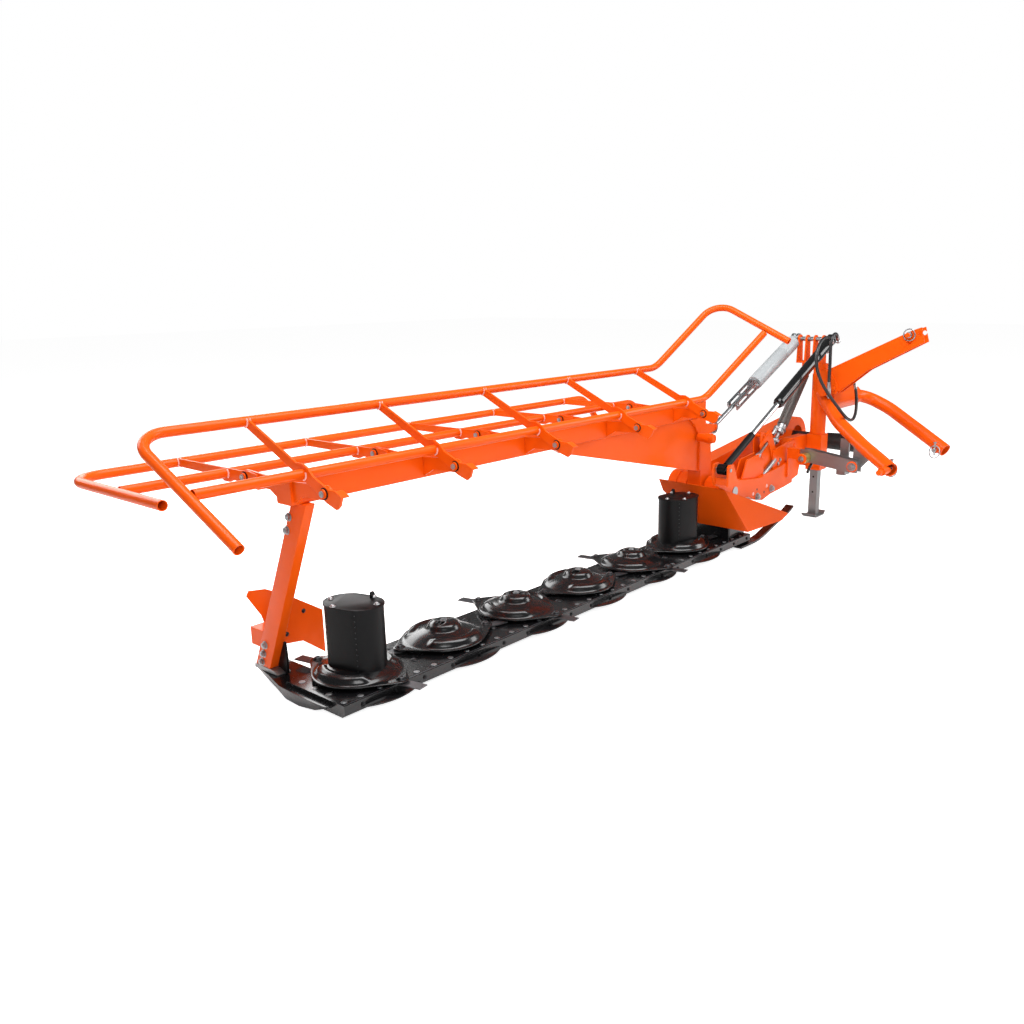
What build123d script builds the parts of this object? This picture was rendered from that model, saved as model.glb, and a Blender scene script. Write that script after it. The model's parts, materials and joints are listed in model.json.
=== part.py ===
"""Side-mounted disc mower on a three-point frame, parked on its stand.

+X runs along the cutter bar from the outer shoe to the hitch frame, +Y points to the
rear of the machine and +Z up. The origin lies on the ground under the middle of the
overall box. Millimetres throughout.
"""

import os
from math import atan2, cos, hypot, radians, sin, tan

from build123d import *

# Driving dimensions
disc_pitch = 410.0
disc_count = 6
row_x = -1605.0
row_y = 51.0

running_gap = 0.1
seat_gap = 0.3
moving_gap = 6.0

# cutter bar
bar_top = 70.0
bar_bottom = 26.0
bar_front = 175.0
bar_rear = 150.0
bar_outer_end = 195.0
bar_inner_end = 2500.0
lobe_radius = 222.0
lobe_foot_radius = 150.0
lobe_top = 46.0
runner_rear = -142.0
runner_width = 48.0

# discs
spindle_radius = 52.0
disc_under = 84.0
disc_plate = 5.0
disc_waist_radius = 160.0
ear_reach = 190.0
ear_radius = 27.0
dome_radius = 150.0
dome_top = 118.0
hub_radius = 66.0
hub_top = 152.0
hub_pocket = 10.0
ridge_radius = 128.0
ridge_width = 26.0
ridge_sweep = 76.0
ridge_height = 25.0
knife_thickness = 4.0
knife_width = 42.0
knife_length = 112.0
knife_bolt_radius = 9.0
knife_head_radius = 13.0
knife_head_height = 9.0
knife_clear = 6.0
drum_long = 113.0
drum_short = 90.0
drum_top = 336.0

# guards
bracket_pitch = 548.5
bracket_count = 5
bracket_first = -206.0
hinge_height = 778.0
front_hinge_y = -175.0
rear_hinge_y = 262.0
rail_radius = 17.0
rail_bore = 14.0
rail_bend = 110.0
guard_outer = 446.0
guard_inner = 114.0
front_tail = 156.0
rear_tail = 185.0
guard_end_x = -591.0
guard_kink_x = 2168.0
guard_kink_run = 342.0
guard_kink_rise = 363.0
guard_inner_tail = 21.0
guard_open_angle = 25.0
bar_plate = 8.0
lip_reach = 45.0
lip_drop = 35.0
lip_width = 22.0
hinge_boss = 24.0
hinge_bolt_radius = 9.0
hinge_hole_radius = 9.1

# main beam
beam_bottom = 714.0
beam_top = 800.0
beam_front = 0.0
beam_rear = 80.0
beam_outer_end = -212.0
beam_inner_end = 2300.0
beam_wall = 6.0
beam_corner = 8.0
haunch_start = 1117.0
haunch_low = 437.0
haunch_plate = 10.0
haunch_corner = 2147.0
spare_pin_x = 2185.0
spare_pin_z = 615.0
spare_pin_radius = 22.0
spare_pin_length = 92.0
inner_post_width = 116.0
inner_post_left = 2262.0

# outer leg and swath plates
leg_depth = 72.0
leg_width = 38.0
leg_left = -188.0
leg_foot_y = 322.0
leg_foot_z = 56.0
leg_top_y = 22.0
leg_corner = 6.0
board_y = 400.0
board_plate = 6.0
board_arm_x = -164.0
board_arm_width = 68.0
board_arm_z = 204.0

# inner pivot and gear column
pivot_x = 2340.0
pivot_z = 330.0
pivot_pin_radius = 26.0
pivot_boss_radius = 66.0
column_top = 200.0
column_left = 2335.0
column_corner = 10.0
column_front = -140.0
fork_plate = 12.0
far_lug_y = -150.0
near_lug_y = -230.0
hood_plate = 4.0
hood_stay_x = 2420.0

# carrier
carrier_front = -125.0
carrier_rear = -12.0
carrier_plate = 12.0
carrier_end = 3082.0
cheek_inset = 15.0
clevis_x = 3130.0
clevis_z = 460.0
clevis_pin_radius = 15.0

# post and mast
post_x = 3353.0
post_y = -145.0
post_radius = 45.0
post_bottom = 505.0
post_top = 862.0
hub_left = 3322.0
hub_right = 3720.0
hub_y = -190.0
hub_z = 705.0
cross_hub_radius = 66.0
cheek_plate = 10.0
king_cap = 60.0
cap_radius = post_radius - 4
cap_gap = 5.0
ear_faces = (-2.0, -50.0, -100.0, -150.0)
ear_plate = 10.0
king_radius = 30.0
block_bottom = 290.0
block_width = 92.0
mast_pin_z = 1062.0
mast_pin_radius = 13.0
mast_pin_front = -237.0
mast_pin_rear = 40.0

# hitch arms
arm_radius = 38.0
arm_bore = 32.0
arm_boss_radius = 22.0
left_boss_reach = 78.0
right_boss_reach = 52.0
arm_bolt_radius = 12.0
hitch_pin_y = -755.0
hitch_pin_z = 430.0
hitch_near_x = 2874.0
hitch_far_x = 3699.0
hitch_pin_radius = 14.0
hitch_pin_length = 40.0
near_arm_path = (
    (3340, -165, 745),
    (3215, -330, 605),
    (3060, -545, 508),
    (hitch_near_x, hitch_pin_y - 20, hitch_pin_z),
)
near_arm_bend = 400.0
far_arm_path = (
    (3560, -200, 706),
    (3800, -240, 700),
    (3805, -400, 628),
    (hitch_far_x - 6, hitch_pin_y - 35, hitch_pin_z - 12),
)
far_arm_bends = (110.0, 300.0)
top_pin_x = 3300.0
top_pin_y = -741.0
top_pin_z = 1112.0
top_pin_bore = 12.7
top_arm_width = 72.0
top_arm_plate = 10.0
top_arm_low = 800.0
root_bolt_y = -274.0
root_bolt_z = 789.0
stow_pin_y = -683.0
stow_pin_z = 1103.0

# latch link and its buffer
latch_left = 2990.0
latch_width = 60.0
latch_plate = 6.0
latch_y = -236.0
latch_z = 435.0
latch_radius = 27.0
latch_bolt_y = -520.0
latch_bolt_z = 400.0
buffer_x = 3106.0
buffer_y = -395.0
buffer_z = 364.0

# belt drive and input shaft
belt_rear = 205.0
belt_front = 105.0
belt_pocket = 40.0
belt_end_radius = 75.0
rear_band = 52.0
front_band = 46.0
band_rise = 4.0
band_reach = 15.0
drive_x = 3600.0
drive_z = 425.0
cone_back = -100.0
cone_front = -300.0
input_shaft_radius = 17.46

# float spring
float_y = -62.0
float_low_x = 2917.0
float_low_z = 440.0
float_high_x = 3340.0
float_high_z = 890.0
float_pin_radius = 9.0
float_rod_radius = 10.0
float_eye_width = 24.0
coil_start = 195.0
coil_radius = 33.0

# parking stand
stand_side = 50.0
stand_top = 340.0
stand_foot = 150.0
stand_plate = 8.0

# lift cylinder and relief spring
cylinder_y = -200.0
cylinder_eye_x = 2146.0
cylinder_eye_z = 482.0
barrel_radius = 30.0
barrel_length = 700.0
rod_radius = 14.0
sleeve_radius = 18.0
sleeve_length = 290.0
eye_radius = 27.0
eye_bore = 22.0
eye_pin_radius = 9.0
eye_width = 50.0
relief_y = 20.0
relief_eye_x = 2413.0
relief_eye_z = 646.0
relief_eye_width = 18.0
relief_pin_radius = 7.5
relief_radius = 40.0
relief_start = 52.0
relief_end = 549.0
clevis_run = 264.0
cross_pin_reach = 680.0
cross_pin_radius = 8.0

# hoses
hose_radius = 9.0
hose_loop_path = (
    (3290, -236, 1050), (3200, -262, 1085), (3084, -270, 1086), (2997, -277, 1030), (2976, -285, 945),
    (3005, -300, 862), (3058, -326, 784), (3124, -356, 707), (3203, -379, 634), (3302, -376, 603),
    (3396, -358, 638), (3447, -336, 726), (3449, -320, 800),
)
hose_drop_path = (
    (3330, -250, 1062), (3295, -260, 1091), (3258, -264, 1103), (3221, -266, 1091), (3198, -267, 1060),
    (3197, -267, 1010), (3204, -266, 925), (3208, -263, 842), (3227, -260, 760),
)


def across(x):
    """Plane at this place along the bar, drawn in (y, z), extruded towards the hitch."""
    return Plane(origin=(row_x + x, row_y, 0), x_dir=(0, 1, 0), z_dir=(1, 0, 0))


def along(y):
    """Plane at this depth, drawn in (x, z), extruded towards the front."""
    return Plane(origin=(row_x, row_y + y, 0), x_dir=(1, 0, 0), z_dir=(0, -1, 0))


def level(z):
    """Plane at this height, drawn in (x, y), extruded upwards."""
    return Plane(origin=(row_x, row_y, z), x_dir=(1, 0, 0), z_dir=(0, 0, 1))


def spot(x, y, z):
    """Point given from the first disc's axis on the ground."""
    return (row_x + x, row_y + y, z)


def bent_tube(points, bend, outer, bore):
    """Round tube along bent straight runs, open at both ends."""
    with BuildPart() as tube:
        with BuildLine() as path:
            FilletPolyline(*points, radius=bend)
        with BuildSketch(Plane(origin=path.line @ 0, z_dir=path.line % 0)):
            Circle(outer)
            if bore:
                Circle(bore, mode=Mode.SUBTRACT)
        sweep(path=path.line)
    return tube.part


def round_bar(start, end, radius, bore=0):
    """Straight round bar or tube between two points."""
    run = Vector(*end) - Vector(*start)
    with BuildPart() as bar:
        with BuildSketch(Plane(origin=start, z_dir=run)):
            Circle(radius)
            if bore:
                Circle(bore, mode=Mode.SUBTRACT)
        extrude(amount=run.length)
    return bar.part


# Cutter bar
disc_row = disc_pitch * (disc_count - 1)
with BuildPart() as cutter_bar:
    with BuildSketch(across(-bar_outer_end)):
        with BuildLine():
            Polyline(
                (-bar_front, bar_bottom + 10),
                (-bar_front + 14, bar_bottom),
                (bar_rear - 24, bar_bottom),
                (bar_rear, bar_bottom + 16),
                (bar_rear, bar_top - 8),
                (bar_rear - 8, bar_top),
                (-bar_front, bar_top),
                close=True,
            )
        make_face()
    extrude(amount=bar_outer_end + bar_inner_end)
    with BuildSketch(level(bar_top)):
        for i in range(disc_count):
            with Locations((i * disc_pitch, 0)):
                Circle(spindle_radius)
    extrude(amount=disc_under - seat_gap - bar_top)
cutter_bar.part.label = "cutter_bar"

with BuildPart() as skid_lobes:
    for i in range(disc_count):
        with BuildSketch(Plane(origin=spot(i * disc_pitch, 0, 0), x_dir=(1, 0, 0), z_dir=(0, -1, 0))):
            with BuildLine():
                Polyline(
                    (0, 0),
                    (lobe_foot_radius, 0),
                    (lobe_radius, lobe_top - 8),
                    (lobe_radius, lobe_top),
                    (lobe_radius - 14, lobe_top),
                    (lobe_foot_radius - 4, 6),
                    (0, 6),
                    close=True,
                )
            make_face()
        revolve(axis=Axis(spot(i * disc_pitch, 0, 0), (0, 0, 1)))
    with BuildSketch(level(-1)):
        with Locations((disc_row / 2, lobe_radius)):
            Rectangle(disc_row + 2 * lobe_radius, 2 * lobe_radius)
        with Locations((-bar_outer_end - lobe_radius, 0)):
            Rectangle(2 * lobe_radius, 2 * lobe_radius)
    extrude(amount=lobe_top + 2, mode=Mode.SUBTRACT)
    with BuildSketch(across(-bar_outer_end + 20)):
        with Locations((-40, bar_bottom / 2)):
            Rectangle(200, bar_bottom)
    extrude(amount=disc_row + lobe_radius + bar_outer_end - 20)
    add(cutter_bar.part, mode=Mode.SUBTRACT)
skid_lobes.part.label = "skid_lobes"

shoe_end = -bar_outer_end - seat_gap
shoe_back = bar_rear + seat_gap
with BuildPart() as outer_shoe:
    with BuildSketch(level(0)):
        with BuildLine():
            Polyline(
                (shoe_end, -102),
                (-199, -95),
                (-199, 69),
                (-197, 163),
                (-163, 262),
                (-140, 372),
                (-80, 366),
                (-76, shoe_back),
                (shoe_end, shoe_back),
                close=True,
            )
        make_face()
    with BuildSketch(level(leg_foot_z - seat_gap)):
        with BuildLine():
            Polyline(
                (shoe_end, -119),
                (-223, -106),
                (-223, 76),
                (-219, 163),
                (-187, 268),
                (-158, 402),
                (-58, 392),
                (-54, shoe_back),
                (shoe_end, shoe_back),
                close=True,
            )
        make_face()
    loft(ruled=True)
outer_shoe.part.label = "outer_shoe"

with BuildPart() as inner_shoe:
    with BuildSketch(along(runner_rear)):
        with BuildLine():
            Line((2380, 14), (2510, 14))
            Spline((2510, 14), (2760, 62), (2985, 128), tangents=[(1, 0), (2, 1)])
            Line((2985, 128), (2980, 138))
            Spline((2980, 138), (2757, 73), (2507, 25.5), tangents=[(-2, -1), (-1, 0)])
            Line((2507, 25.5), (2380, 25.5))
            Line((2380, 25.5), (2380, 14))
        make_face()
    extrude(amount=runner_width)
inner_shoe.part.label = "inner_shoe"


# Discs
def disc_plane(index, angle, z):
    """Level plane on a disc's axis whose x axis runs through its ears."""
    turn = radians(angle)
    return Plane(
        origin=spot(index * disc_pitch, 0, z),
        x_dir=(cos(turn), sin(turn), 0),
        z_dir=(0, 0, 1),
    )


def disc_body(index, angle, has_drum):
    """Oval knife carrier with its dome, pressed side ridges and hub, and the crop drum where it has one."""
    top = disc_under + disc_plate
    with BuildPart() as body:
        with BuildSketch(disc_plane(index, angle, disc_under)):
            Circle(disc_waist_radius)
            with Locations((ear_reach, 0), (-ear_reach, 0)):
                Circle(ear_radius)
            make_hull()
        extrude(amount=disc_plate)
        section = Plane(origin=spot(index * disc_pitch, 0, 0), x_dir=(1, 0, 0), z_dir=(0, -1, 0))
        with BuildSketch(section):
            with BuildLine():
                Line((0, disc_under), (dome_radius, disc_under))
                Line((dome_radius, disc_under), (dome_radius, top))
                Spline((dome_radius, top), (dome_radius - 18, top + 16), (hub_radius + 10, dome_top))
                Line((hub_radius + 10, dome_top), (hub_radius, dome_top + 4))
                Spline((hub_radius, dome_top + 4), (hub_radius - 14, hub_top - 8), (26, hub_top))
                Line((26, hub_top), (0, hub_top))
                Line((0, hub_top), (0, disc_under))
            make_face()
        revolve(axis=Axis(section.origin, (0, 0, 1)))
        for side in (90, 270):
            start = side - ridge_sweep / 2
            with BuildSketch(disc_plane(index, angle, top)):
                with BuildLine():
                    outer = CenterArc((0, 0), ridge_radius + ridge_width / 2, start, ridge_sweep)
                    inner = CenterArc((0, 0), ridge_radius - ridge_width / 2, start, ridge_sweep)
                    Line(outer @ 0, inner @ 0)
                    Line(outer @ 1, inner @ 1)
                make_face()
            extrude(amount=ridge_height, taper=20)
        if has_drum:
            with BuildSketch(disc_plane(index, angle, top + 8)):
                Ellipse(drum_long, drum_short)
            extrude(amount=drum_top - top - 8)
        else:
            with BuildSketch(disc_plane(index, angle, hub_top - hub_pocket)):
                with Locations((hub_radius / 2, 0), (-hub_radius / 2, 0)):
                    Circle(hub_radius / 4)
            extrude(amount=hub_pocket + 1, mode=Mode.SUBTRACT)
        with BuildSketch(disc_plane(index, angle, disc_under)):
            with Locations((ear_reach, 0), (-ear_reach, 0)):
                Circle(knife_bolt_radius + running_gap)
        extrude(amount=disc_plate, mode=Mode.SUBTRACT)
    return body.part


def disc_knives(index, angle):
    """Two flat knives under the ears, each on its dome-headed bolt."""
    knife_top = disc_under - knife_clear + knife_thickness / 2
    with BuildPart() as knives:
        for side in (-1, 1):
            plane = disc_plane(index, angle, knife_top - knife_thickness)
            with BuildSketch(plane):
                with Locations((side * (ear_reach - 18 + knife_length / 2), 0)):
                    Rectangle(knife_length, knife_width)
            extrude(amount=knife_thickness)
            with BuildSketch(plane):
                with Locations((side * ear_reach, 0)):
                    Circle(knife_head_radius)
            extrude(amount=disc_under - seat_gap - knife_top + knife_thickness)
            with BuildSketch(plane):
                with Locations((side * ear_reach, 0)):
                    Circle(knife_bolt_radius)
            extrude(amount=disc_under + disc_plate + 2 - knife_top + knife_thickness)
            with BuildSketch(disc_plane(index, angle, disc_under + disc_plate + seat_gap)):
                with Locations((side * ear_reach, 0)):
                    Circle(knife_head_radius)
            extrude(amount=knife_head_height, taper=20)
    return knives.part


disc_angles = (101.0, 168.0)
rotors = []
for i in range(disc_count):
    angle = disc_angles[i % 2]
    rotor = disc_body(i, angle, has_drum=i in (0, disc_count - 1))
    rotor.label = f"disc_{i + 1}"
    blades = disc_knives(i, angle)
    blades.label = f"knives_{i + 1}"
    rotors += [rotor, blades]

# Main beam
beam_y = (beam_front + beam_rear) / 2
beam_z = (beam_bottom + beam_top) / 2
beam_deep = beam_rear - beam_front
beam_tall = beam_top - beam_bottom
with BuildPart() as main_beam:
    with BuildSketch(across(beam_outer_end)):
        with Locations((beam_y, beam_z)):
            RectangleRounded(beam_deep, beam_tall, beam_corner)
            Rectangle(beam_deep - 2 * beam_wall, beam_tall - 2 * beam_wall, mode=Mode.SUBTRACT)
    extrude(amount=beam_inner_end - beam_outer_end)
    for end in (beam_outer_end, beam_inner_end - beam_wall):
        with BuildSketch(across(end)):
            with Locations((beam_y, beam_z)):
                RectangleRounded(beam_deep, beam_tall, beam_corner)
        extrude(amount=beam_wall)
main_beam.part.label = "main_beam"

post_right = inner_post_left + inner_post_width
with BuildPart() as haunch:
    with BuildSketch(along(beam_rear)):
        with BuildLine():
            Polyline(
                (haunch_start, beam_bottom - seat_gap),
                (inner_post_left - seat_gap, beam_bottom - seat_gap),
                (inner_post_left - seat_gap, haunch_low - 7),
                (haunch_start + 80, beam_bottom - 40),
                close=True,
            )
        make_face()
    extrude(amount=beam_deep - haunch_plate)
    with BuildSketch(along(beam_rear - haunch_plate)):
        with BuildLine():
            Polyline(
                (haunch_start + 90, beam_bottom - 12),
                (inner_post_left - 12, beam_bottom - 12),
                (inner_post_left - 12, haunch_low + 8),
                (haunch_start + 92, beam_bottom - 30),
                close=True,
            )
        make_face()
    extrude(amount=beam_deep - 3 * haunch_plate, mode=Mode.SUBTRACT)
    with BuildSketch(along(beam_front + haunch_plate)):
        with BuildLine():
            Line(
                (inner_post_left - seat_gap, beam_bottom - seat_gap),
                (haunch_corner, beam_bottom - seat_gap),
            )
            ThreePointArc(
                (haunch_corner, beam_bottom - seat_gap),
                (inner_post_left - 45, beam_bottom - 60),
                (inner_post_left - 13, beam_bottom - 116),
            )
            Polyline(
                (inner_post_left - 13, beam_bottom - 116),
                (inner_post_left - 13, haunch_low),
                (inner_post_left - seat_gap, haunch_low),
                (inner_post_left - seat_gap, beam_bottom - seat_gap),
            )
        make_face()
    extrude(amount=haunch_plate)
haunch.part.label = "haunch"

with BuildPart() as inner_post:
    with BuildSketch(along(beam_rear)):
        with BuildLine():
            Polyline(
                (inner_post_left, pivot_z - 40),
                (column_left + 10, column_top),
                (post_right, column_top),
                (post_right, pivot_z + 26),
                (post_right - 22, pivot_z + 256),
                (post_right - 66, beam_bottom - 43),
                (beam_inner_end - 4, beam_bottom - seat_gap),
                (inner_post_left, beam_bottom - seat_gap),
                close=True,
            )
        make_face()
    extrude(amount=beam_deep)
    for face in (relief_y + relief_eye_width / 2 + seat_gap + 6, relief_y - relief_eye_width / 2 - seat_gap):
        with BuildSketch(along(face)):
            with Locations((relief_eye_x, relief_eye_z)):
                Circle(16)
            with Locations((post_right - 66, relief_eye_z)):
                Rectangle(20, 60)
            make_hull()
        extrude(amount=6)
    with BuildSketch(along(relief_y + 20)):
        with Locations((relief_eye_x, relief_eye_z)):
            Circle(relief_pin_radius)
    extrude(amount=40)
    with BuildSketch(along(beam_front)):
        with Locations((spare_pin_x + 50, spare_pin_z)):
            Circle(spare_pin_radius)
    extrude(amount=spare_pin_length)
    with BuildSketch(along(beam_front - spare_pin_length * 0.5)):
        with Locations((spare_pin_x + 50, spare_pin_z)):
            Circle(spare_pin_radius + 4)
    extrude(amount=spare_pin_length * 0.35)
    with BuildSketch(along(beam_front)):
        with Locations((pivot_x, pivot_z)):
            Circle(pivot_pin_radius + running_gap)
    extrude(amount=-beam_deep, mode=Mode.SUBTRACT)
inner_post.part.label = "inner_post"

with BuildPart() as gear_column:
    with BuildSketch(level(bar_top + seat_gap)):
        with Locations(((column_left + bar_inner_end) / 2, -25)):
            Rectangle(bar_inner_end - column_left, 230)
    extrude(amount=column_top - seat_gap - bar_top - seat_gap)
    fillet(gear_column.edges().filter_by(Axis.Z), column_corner)
gear_column.part.label = "gear_column"

# Lugs for the lift cylinder: a long plate beside the pivot, and a short ear in front of the eye
eye_clear = cylinder_y + eye_width / 2 + seat_gap
with BuildPart() as fork_plates:
    with BuildSketch(along(far_lug_y)):
        with BuildLine():
            Polyline(
                (cylinder_eye_x - 26, cylinder_eye_z - 18),
                (cylinder_eye_x - 20, cylinder_eye_z + 26),
                (cylinder_eye_x + 30, cylinder_eye_z + 28),
                (cylinder_eye_x + 72, cylinder_eye_z - 34),
                (pivot_x + 60, pivot_z + 50),
                (pivot_x + 70, pivot_z - 60),
                (pivot_x + 40, column_top + 2),
                (pivot_x - 32, column_top + 2),
                (pivot_x - 104, pivot_z + 24),
                (cylinder_eye_x - 10, cylinder_eye_z - 82),
                close=True,
            )
        make_face()
        with Locations((pivot_x, pivot_z)):
            Circle(pivot_pin_radius + running_gap, mode=Mode.SUBTRACT)
    extrude(amount=fork_plate)
    with BuildSketch(along(far_lug_y - fork_plate)):
        with Locations((cylinder_eye_x + 34, cylinder_eye_z - 62)):
            Rectangle(84, 36)
    extrude(amount=far_lug_y - fork_plate - near_lug_y)
    with BuildSketch(along(near_lug_y)):
        with BuildLine():
            Polyline(
                (cylinder_eye_x - 20, cylinder_eye_z - 80),
                (cylinder_eye_x - 16, cylinder_eye_z + 18),
                (cylinder_eye_x, cylinder_eye_z + 26),
                (cylinder_eye_x + 34, cylinder_eye_z + 24),
                (cylinder_eye_x + 50, cylinder_eye_z - 6),
                (cylinder_eye_x + 80, cylinder_eye_z - 80),
                close=True,
            )
        make_face()
    extrude(amount=fork_plate)
    for face in (far_lug_y, near_lug_y):
        with BuildSketch(along(face)):
            with Locations((cylinder_eye_x, cylinder_eye_z)):
                Circle(eye_pin_radius + running_gap)
        extrude(amount=fork_plate, mode=Mode.SUBTRACT)
fork_plates.part.label = "fork_plates"


def hinge_brackets(hinge_y, face_y):
    """Tapered plates from the beam's face out to the guard hinge, each with its bolt."""
    outward = 1 if hinge_y > face_y else -1
    root = face_y + outward * seat_gap
    with BuildPart() as brackets:
        for i in range(bracket_count):
            x = bracket_first + i * bracket_pitch
            with BuildSketch(across(x + bar_plate / 2 + seat_gap)):
                with BuildLine():
                    Polyline(
                        (root, beam_top - 8),
                        (hinge_y, hinge_height + hinge_boss),
                        (hinge_y, hinge_height - hinge_boss),
                        (face_y + outward * 50, hinge_height - hinge_boss - 4),
                        (root, beam_bottom + 8),
                        close=True,
                    )
                make_face()
                with Locations((hinge_y, hinge_height)):
                    Circle(hinge_boss)
            extrude(amount=bar_plate)
            with BuildSketch(across(x - bar_plate / 2 - seat_gap - 9)):
                with Locations((hinge_y, hinge_height)):
                    Circle(15)
            extrude(amount=9)
            with BuildSketch(across(x - bar_plate / 2 - seat_gap - 1)):
                with Locations((hinge_y, hinge_height)):
                    Circle(hinge_bolt_radius)
            extrude(amount=2 * bar_plate + 14)
    return brackets.part


front_brackets = hinge_brackets(front_hinge_y, beam_front)
front_brackets.label = "front_brackets"
rear_brackets = hinge_brackets(rear_hinge_y, beam_rear)
rear_brackets.label = "rear_brackets"


# Guards
class GuardFrame:
    """A guard's own directions: out from the hinge, and towards its underside in work."""

    def __init__(self, hinge_y, out, under, tail):
        self.hinge_y = hinge_y
        self.out = out
        self.under = under
        self.tail = tail

    def point(self, x, reach, drop):
        """Model point for a place along the bar, a reach from the hinge and a drop."""
        y = self.hinge_y + reach * self.out[0] + drop * self.under[0]
        z = hinge_height + reach * self.out[1] + drop * self.under[1]
        return spot(x, y, z)

    def plane(self, x):
        """Plane across the bar with reach as its x and drop as its y."""
        normal = Vector(0, *self.out).cross(Vector(0, *self.under))
        return Plane(origin=self.point(x, 0, 0), x_dir=(0, *self.out), z_dir=normal)


open_turn = radians(guard_open_angle)
front_guard = GuardFrame(
    front_hinge_y, (cos(open_turn), sin(open_turn)), (-sin(open_turn), cos(open_turn)), front_tail
)
rear_guard = GuardFrame(rear_hinge_y, (1, 0), (0, -1), rear_tail)


def outer_rail(guard):
    """Outer tube with its two end tubes, bent down at the hitch end."""
    kink_end = guard_kink_x + guard_kink_run
    points = [
        guard.point(guard_end_x, -guard.tail, 0),
        guard.point(guard_end_x, guard_outer, 0),
        guard.point(guard_kink_x, guard_outer, 0),
        guard.point(kink_end, guard_outer, guard_kink_rise),
        guard.point(kink_end, -guard_inner_tail, guard_kink_rise),
    ]
    return bent_tube(points, rail_bend, rail_radius, rail_bore)


def inner_rail(guard):
    """Inner tube between the two end tubes."""
    slope = hypot(guard_kink_run, guard_kink_rise)
    short = (rail_radius + seat_gap + 8) / slope
    points = [
        guard.point(guard_end_x + rail_radius + seat_gap, guard_inner, 0),
        guard.point(guard_kink_x, guard_inner, 0),
        guard.point(
            guard_kink_x + guard_kink_run * (1 - short), guard_inner, guard_kink_rise * (1 - short)
        ),
    ]
    return bent_tube(points, rail_bend, rail_radius, rail_bore)


def guard_bars(guard):
    """Flat bars from the hinge bolts out to the tubes, humped round the inner tube, with a stop lip."""
    reach_end = guard_outer - rail_radius / 2
    with BuildPart() as bars:
        for i in range(bracket_count):
            plane = guard.plane(bracket_first + i * bracket_pitch)
            with BuildSketch(plane):
                with BuildLine():
                    Polyline(
                        (-lip_reach - 24, -16),
                        (-20, -22),
                        (24, -18),
                        (reach_end, -15),
                        (reach_end, 13),
                        (guard_inner + 46, 15),
                        (guard_inner + 18, 29),
                        (guard_inner - 18, 29),
                        (guard_inner - 44, 19),
                        (-14, 22),
                        (-lip_reach + 4, lip_drop),
                        (-lip_reach - 32, lip_drop),
                        (-lip_reach - 34, 4),
                        close=True,
                    )
                make_face()
                Circle(hinge_hole_radius, mode=Mode.SUBTRACT)
                with Locations((guard_inner, 0), (guard_outer, 0)):
                    Circle(rail_radius + seat_gap, mode=Mode.SUBTRACT)
            extrude(amount=bar_plate / 2, both=True)
            lip = guard.point(bracket_first + i * bracket_pitch + bar_plate / 2, 0, 0)
            with BuildSketch(Plane(origin=lip, x_dir=(0, *guard.out), z_dir=(1, 0, 0))):
                with Locations((-lip_reach - 14, lip_side(guard) * (lip_drop - 2))):
                    Rectangle(36, 4)
            extrude(amount=lip_width)
    return bars.part


def lip_side(guard):
    """Sign that carries a drop into a sketch whose normal points to the hitch."""
    return 1 if Vector(1, 0, 0).cross(Vector(0, *guard.out)).dot(Vector(0, *guard.under)) > 0 else -1


guard_parts = []
for side, guard in (("front", front_guard), ("rear", rear_guard)):
    for kind, maker in (("outer_rail", outer_rail), ("inner_rail", inner_rail), ("guard_bars", guard_bars)):
        piece = maker(guard)
        piece.label = f"{side}_{kind}"
        guard_parts.append(piece)

# Outer leg and swath plates
leg_lean = atan2(leg_foot_y - leg_top_y, beam_bottom - leg_foot_z)
leg_half = leg_depth / 2 / cos(leg_lean)


def leg_back(z):
    """Where the leg's rear face stands at this height."""
    return leg_foot_y + leg_half - (z - leg_foot_z) * (leg_foot_y - leg_top_y) / (beam_bottom - leg_foot_z)


with BuildPart() as outer_leg:
    with BuildSketch(across(leg_left)):
        with BuildLine():
            Polyline(
                (leg_foot_y - leg_half, leg_foot_z),
                (leg_foot_y + leg_half, leg_foot_z),
                (leg_top_y + leg_half, beam_bottom - seat_gap),
                (leg_top_y - leg_half, beam_bottom - seat_gap),
                close=True,
            )
        make_face()
    extrude(amount=leg_width)
    fillet(outer_leg.edges().group_by(Edge.length)[-1], leg_corner)
outer_leg.part.label = "outer_leg"

with BuildPart() as swath_board:
    with BuildSketch(along(board_y)):
        with BuildLine():
            Polyline(
                (-168, 318),
                (-158, 336),
                (-90, 326),
                (-4, 281),
                (144, 182),
                (144, 7),
                (48, 83),
                (-22, 93),
                (-84, 128),
                (-116, 232),
                close=True,
            )
        make_face()
    extrude(amount=board_plate)
    with BuildSketch(across(board_arm_x)):
        with BuildLine():
            Polyline(
                (leg_back(board_arm_z) + seat_gap, board_arm_z),
                (board_y - board_plate / 2, board_arm_z),
                (board_y - board_plate / 2, board_arm_z - 66),
                (leg_back(board_arm_z - 66) + seat_gap, board_arm_z - 66),
                close=True,
            )
        make_face()
    extrude(amount=board_arm_width)
    with BuildSketch(across(board_arm_x + 6)):
        with BuildLine():
            Polyline(
                (leg_back(board_arm_z - 6) - 20, board_arm_z - 6),
                (board_y - board_plate, board_arm_z - 6),
                (board_y - board_plate, board_arm_z - 80),
                (leg_back(board_arm_z - 80) - 20, board_arm_z - 80),
                close=True,
            )
        make_face()
    extrude(amount=board_arm_width - 12, mode=Mode.SUBTRACT)
swath_board.part.label = "swath_board"

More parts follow.
